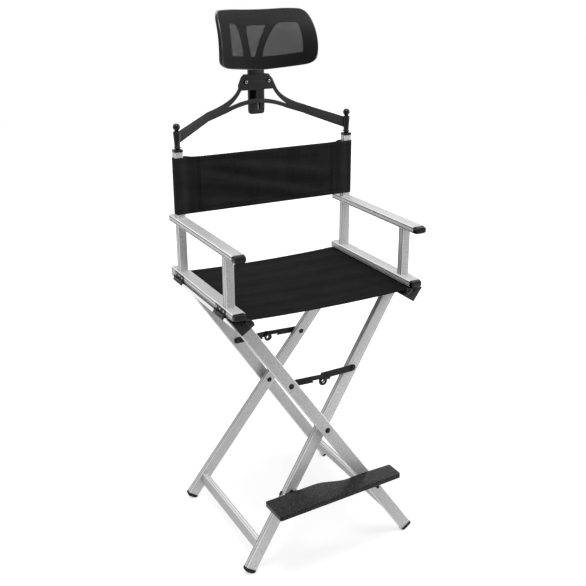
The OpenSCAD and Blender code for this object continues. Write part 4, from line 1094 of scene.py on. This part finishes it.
def puffed_cap(name, spot, length, node, *stands_for):
    """A moulded end cap: fuller below than above, its mouth flat against the tube."""
    cap = start(name, bpy.ops.mesh.primitive_cube_add, size=1, scale=(
        (TUBE_W + 0.8) / 1000, length / 1000, (TUBE_T + 0.8) / 1000),
                location=(0, -length / 2000, 0))
    edit(cap, "EDGE")
    pick_edges(cap, lambda a, b: a.y > -0.0001 and b.y > -0.0001)
    bpy.ops.transform.edge_crease(value=1)
    pick_edges(cap, lambda a, b: abs(a.y - b.y) > 0.001)
    bpy.ops.mesh.bevel(offset=0.0056, segments=4, profile=0.5)
    pick_faces(cap, lambda normal: normal.y < -0.9)
    bpy.ops.transform.resize(value=(0.86, 1, 0.9))
    bpy.ops.mesh.inset(thickness=0.0022)
    bpy.ops.transform.translate(value=(0, -0.0006, 0))
    leave_edit()
    modify(cap, "SUBSURF", levels=3, render_levels=3)
    for vertex in cap.data.vertices:
        reach = max(0.0, -vertex.co.y) * 1000 / length
        side = 1 - min(1.0, abs(vertex.co.x) * 1000 / TUBE_W * 2) ** 2.2
        vertex.co.z += (0.0002 if vertex.co.z > 0 else -0.0024) * math.sin(
            math.pi * min(1, reach * 1.1)) * side
    cap.data.transform(Matrix.Translation(spot))
    outward(cap)
    smooth(cap, 60)
    dress(cap, node, GLOSS, *stands_for)


def front_caps():
    for side, name in SIDES:
        node = name + "_front_caps"
        puffed_cap(name + "_armrest_cap", place(side * ARM_X, ARMREST_FRONT, ARMREST_Z), 14, node,
                   node)
        puffed_cap(name + "_base_cap", place(side * ARM_X, BASE_FRONT, BASE_Z), 11, node)


def feet():
    """Rubber feet: a rim over the tube's end and a round sole that reaches the floor."""
    for name, side, row in FRAMES:
        pair = []
        for end in (-1, 1):
            foot = start("foot", bpy.ops.mesh.primitive_cube_add, size=1,
                         scale=(TUBE_W + 1.4, TUBE_T + 1.4, 3.0))
            edit(foot, "EDGE")
            pick_edges(foot, lambda a, b: abs(a.z - b.z) > 1)
            bpy.ops.mesh.bevel(offset=3.2, segments=4, profile=0.5)
            pick_faces(foot, lambda normal: normal.z < -0.9)
            deep, size = 0.0, 1.0
            for k in range(1, 9):
                turn = math.radians(90 * k / 8.6)
                step, share = 9.8 * math.sin(turn) - deep, math.cos(turn) ** 0.92
                deep += step
                bpy.ops.mesh.extrude_region_move(TRANSFORM_OT_translate={"value": (0, 0, -step)})
                bpy.ops.transform.resize(value=(share / size, (share / size) ** 0.62, 1),
                                         center_override=(0, 0, 0))
                size = share
            leave_edit()
            where = leg_place(side, end, row)
            for vertex in foot.data.vertices:
                vertex.co = where(vertex.co.x, vertex.co.y, vertex.co.z - FOOT_L + 0.5)
                vertex.co.z = max(vertex.co.z, 0.0001)
            outward(foot)
            smooth(foot, 35)
            pair.append(foot)
        node = name + "_foot_caps"
        dress(join(pair, name + "_feet"), node, RUBBER, node)


def finials():
    """The turned finials: a profile of radius and height spun round its post's axis."""
    ball = [(9.8 * math.cos(math.radians(a)), 58 + 9.8 * math.sin(math.radians(a)))
            for a in range(-52, 84, 8)]
    profile = [(0, 0.3), (6.0, 0.3), (6.2, 0.6), (6.2, 3.6), (8.9, 3.8), (9.5, 4.5), (9.6, 5.6),
               (9.3, 6.7), (8.0, 7.6), (7.1, 8.3), (7.3, 9.2), (7.7, 11.5), (8.4, 22), (9.1, 33),
               (9.8, 43), (10.0, 44.6), (9.8, 45.7), (9.1, 46.4), (6.6, 47.4), (5.5, 48.4),
               (5.4, 49.4)] + ball + [(0, 67.8)]
    for side, name in SIDES:
        node = name + "_finial"
        piece = wire(node + "_turned", [(r / 1000, 0, z / 1000) for r, z in profile])
        edit(piece, "EDGE")
        pick_edges(piece, lambda a, b: max(a.x, b.x) < 0.00001)
        bpy.ops.mesh.delete(type="EDGE")
        bpy.ops.mesh.select_all(action="SELECT")
        bpy.ops.mesh.spin(steps=40, angle=math.tau, center=(0, 0, 0), axis=(0, 0, 1))
        bpy.ops.mesh.select_all(action="SELECT")
        bpy.ops.mesh.remove_doubles(threshold=0.00001)
        bpy.ops.mesh.normals_make_consistent(inside=False)
        leave_edit()
        piece.data.transform(Matrix.Translation(place(side * ARM_X, REAR_POST_Y, 1083)))
        smooth(piece, 38)
        dress(piece, node, GLOSS, node)


# ------------------------ Eased copies

def eased_pieces():
    for finish, width, names in (
            (PLASTIC, 0.0009, ("left_rail_plug", "right_rail_plug")),
            (COAT, 0.0003, ("left_arm_hinge_leaves", "right_arm_hinge_leaves", "front_left_link",
                            "front_right_link", "rear_left_link", "rear_right_link")),
            (COAT, 0.0006, ("footboard_peg",)),
            (SATIN, 0.0005, ("headrest_bracket",)),
            (SLIDER, 0.0007, ("height_slider",)),
            (PLASTIC, 0.0005, ("left_post_cap", "right_post_cap")),
            (GREY, 0.0004, ("left_rear_caps", "right_rear_caps")),
            (COAT, 0.0002, ("pivot_rivets", "outer_brace_rivets", "inner_brace_rivets"))):
        for node in names:
            eased(node, finish, width)


# ------------------------ Hinges, plugs and clamp

def hinge_screws():
    for side, name in SIDES:
        heads = [recessed_head("screw", place(side * 273.52, y + along, 744.4), (side, 0, 0),
                               2.6, 1.2, 0.34)
                 for y in HINGE_SPOTS for along in (-21.6, 0, 21.6)]
        node = name + "_hinge_screws"
        dress(join(heads, name + "_arm_hinge_screws"), node, STEEL, node)


def lower_leaves():
    """Each lower leaf stands a little proud of the rail, below its knuckle."""
    outline = [(276.4, 736.4), (277.7, 735.7), (278.3, 734.2), (278.2, 732.4), (281.3, 726.9),
               (280.2, 726.2), (277.0, 731.0), (275.6, 730.9), (274.4, 731.8), (273.8, 733.4),
               (274.4, 735.6)]
    for side, name in SIDES:
        node = name + "_rail_hinge_leaves"
        leaves = [prism("leaf", [(side * x, z) for x, z in outline], y - 31, y + 31, 0.0003)
                  for y in HINGE_SPOTS]
        heads = [recessed_head("screw", place(side * 279.8, y + along, 729.2),
                               (side * 0.87, 0, 0.49), 1.5, 0.6, 0.34)
                 for y in HINGE_SPOTS for along in (-19.8, 19.8)]
        dress(join(leaves, name + "_lower_leaves"), node, COAT, node)
        dress(join(heads, name + "_lower_leaf_screws"), node, STEEL,
              slot=slot_of[name + "_hinge_screws"])


def rail_plug_lobes():
    """The round nose of each rail plug beside the canvas, and the plug's bore, whose inside is a
    dark disc of painted shade.
    """
    outline = [(243.5, 729.0), (243.0, 732.6), (240.4, 735.0), (236.0, 736.0), (229.5, 735.2),
               (223.5, 731.6), (219.0, 726.2), (217.2, 720.0), (219.6, 716.4), (226.0, 716.0),
               (233.0, 718.6), (239.5, 723.6)]
    for side, name in SIDES:
        node = name + "_rail_plug"
        nose = prism(name + "_plug_nose", [(side * x, z) for x, z in outline], -214.5, -209.5,
                     0.0014, 3)
        dress(nose, node, GLOSS)
        for part, y, radius, height, recess, finish in (
                ("_plug_bore_rim", -210.2, 4.4, 1.2, 0.66, PLASTIC),
                ("_plug_bore", -210.3, 2.8, 0.75, 0, PAINTED_HOLLOW_SHADE)):
            dress(recessed_head(name + part, place(side * 250.5, y, 725.2), (0, -1, 0), radius,
                                height, recess), node, finish)


def clamp():
    """The clamp plate behind the bracket, and its two screws with washers."""
    outline = both_sides([(0, 1254.6), (33.5, 1254.6), (41.5, 1247.0), (50.5, 1225.5),
                          (49.6, 1216.6), (43.5, 1213.2), (0, 1213.2)])
    dress(prism("clamp_plate_shaped", outline, 220.7, 223.7, 0.0006), "clamp_plate", SATIN,
          "clamp_plate")

    def heads(y, radius, height, recess, ahead=-1, sides=20):
        return [recessed_head("head", place(x, y, CLAMP_Z), (0, ahead, 0), radius, height, recess,
                              sides) for x in (-34, 34)]
    dress(join(heads(205.9, 6.8, 1.0, 0) + heads(224.0, 6.0, 4.5, 0.5, 1, 6),
               "clamp_washers_and_nuts"), "clamp_screws", GLOSS, slot=slot_of["clamp_plate"])
    dress(join(heads(205.0, 3.9, 1.6, 0.62), "clamp_screw_heads"), "clamp_screws", STEEL,
          "clamp_screws")
    # The sockets are dark discs of painted shade filling the screw heads' recesses
    dress(join(heads(204.7, 2.3, 1.6, 0), "clamp_screw_sockets"), "clamp_screws", PAINTED_HOLLOW_SHADE)


def slider_hollows():
    """Painted shade: a dark block over the floor of the slider's recess, and one in its slot, in
    front of the plate seen through it.
    """
    for name, outline, front, rear, ease, finish in (
            ("slider_recess", box(-21, 1190, -5, 1211.5), SLIDER_FRONT - 0.12,
             SLIDER_FRONT + 1.5, 0.0001, PAINTED_HOLLOW_SHADE),
            ("slider_slot_back", box(3, 1158, 10, 1178), 218.2, 220.2, 0.0002, PAINTED_HOLLOW_SHADE),
            ("slider_slot_lip", box(2.6, 1160, 4.4, 1177), SLIDER_FRONT - 0.1,
             SLIDER_FRONT + 1.0, 0.0001, GREY)):
        dress(prism(name, outline, front, rear, ease), "height_slider", finish)


# ------------------------ Footboard

BOARD_L = (PIVOT_Z - 208.4) / math.cos(LEG_ANGLE) / math.cos(SPLAY)


def board_axes():
    """The footboard's base point on the leg, and its directions per millimetre: along the
    board, up from it, and inward through the leg."""
    where = leg_place(1, -1, INNER_Y)
    base = where(0, -TUBE_T / 2, -BOARD_L)
    across = where(1, -TUBE_T / 2, -BOARD_L) - base
    along = where(0, -TUBE_T / 2, 1 - BOARD_L) - base
    level = across * math.cos(LEG_ANGLE) + along * math.sin(LEG_ANGLE)
    rise = along * math.cos(LEG_ANGLE) - across * math.sin(LEG_ANGLE)
    return base, level, rise, (where(0, 0, -BOARD_L) - base) / (TUBE_T / 2)


def footboard_deck():
    """The board, its top edge rounded over."""
    base, _, rise, _ = board_axes()
    up = rise.normalized()
    board = eased("footboard", DECK, 0.0003)
    edit(board, "EDGE")
    pick_edges(board, lambda a, b: min((a - base).dot(up), (b - base).dot(up)) > 0.0063)
    bpy.ops.mesh.bevel(offset=0.0015, segments=3, profile=0.5, clamp_overlap=True)
    leave_edit()
    smooth(board)


def footboard_fittings():
    """The pivot bolt, the angle bracket under the board and the strap beside the leg."""
    where = leg_place(1, -1, INNER_Y)
    base, level, rise, inward = board_axes()
    ahead = -inward.normalized()
    bolt = [recessed_head("bolt", where(0, y, -BOARD_L), axis, radius, height, recess, sides)
            for y, axis, radius, height, recess, sides in (
                (-12.1, ahead, 2.7, 2.0, 0.5, 6), (-11.9, ahead, 3.0, 0.5, 0, 20),
                (8.6, -ahead, 7.2, 6.0, 0.5, 6), (8.6, ahead, 3.0, 21.0, 0, 20))]
    dress(join(bolt, "footboard_bolt_turned"), "footboard_bolt", COAT, "footboard_bolt")
    lug = [(-20, -9.5), (20, -9.5), (20, -4.5), (9, -3.9), (6.2, -2.0), (4.4, -0.2), (0, 0.6),
           (-4.4, -0.2), (-6.2, -2.0), (-9, -3.9), (-20, -4.5)]
    flange = eased_loft("bracket_flange", *([base + level * x + rise * z + inward * y
                                             for x, z in lug] for y in (-0.4, -3.3)), 0.0004)
    shelf = eased_loft("bracket_shelf", *([base + level * x + rise * z + inward * y for x, y in (
        (-20, -3.0), (20, -3.0), (20, -86), (14, -89), (-14, -89), (-20, -86))]
        for z in (-6.6, -9.5)), 0.0004)
    dress(join([flange, shelf], "footboard_angle_bracket"), "footboard_bracket", COAT,
          "footboard_bracket")
    strap = eased_loft("footboard_strap", *([where(x, y, z - BOARD_L) for y, z in (
        (front, low), (front, high), (rear, high), (rear, low))] for x, front, rear, low, high in (
            (-16.8, 0, 6, -26, -12), (-21.4, 1, 5, -25, -15))), 0.0012, 3)
    dress(strap, "footboard_bolt", SLIDER)


def finish_nodes():
    """The CAD's own pieces that stay in sight."""
    for name, piece in nodes.items():
        piece.data.materials.clear()
        piece.data.materials.append(GLOSSY_PAINTED_LIGHT_RAILS if "seat_rail" in name else FINISH_OF[slot_of[name]])


make_camera()
make_studio()
finish_nodes()
seat_cloth()
back_cloth()
headrest()
front_caps()
feet()
finials()
eased_pieces()
legs()
cross_rails()
arm_tubes()
hinge_screws()
lower_leaves()
rail_plug_lobes()
clamp()
slider_hollows()
headrest_piping()
footboard_deck()
footboard_fittings()
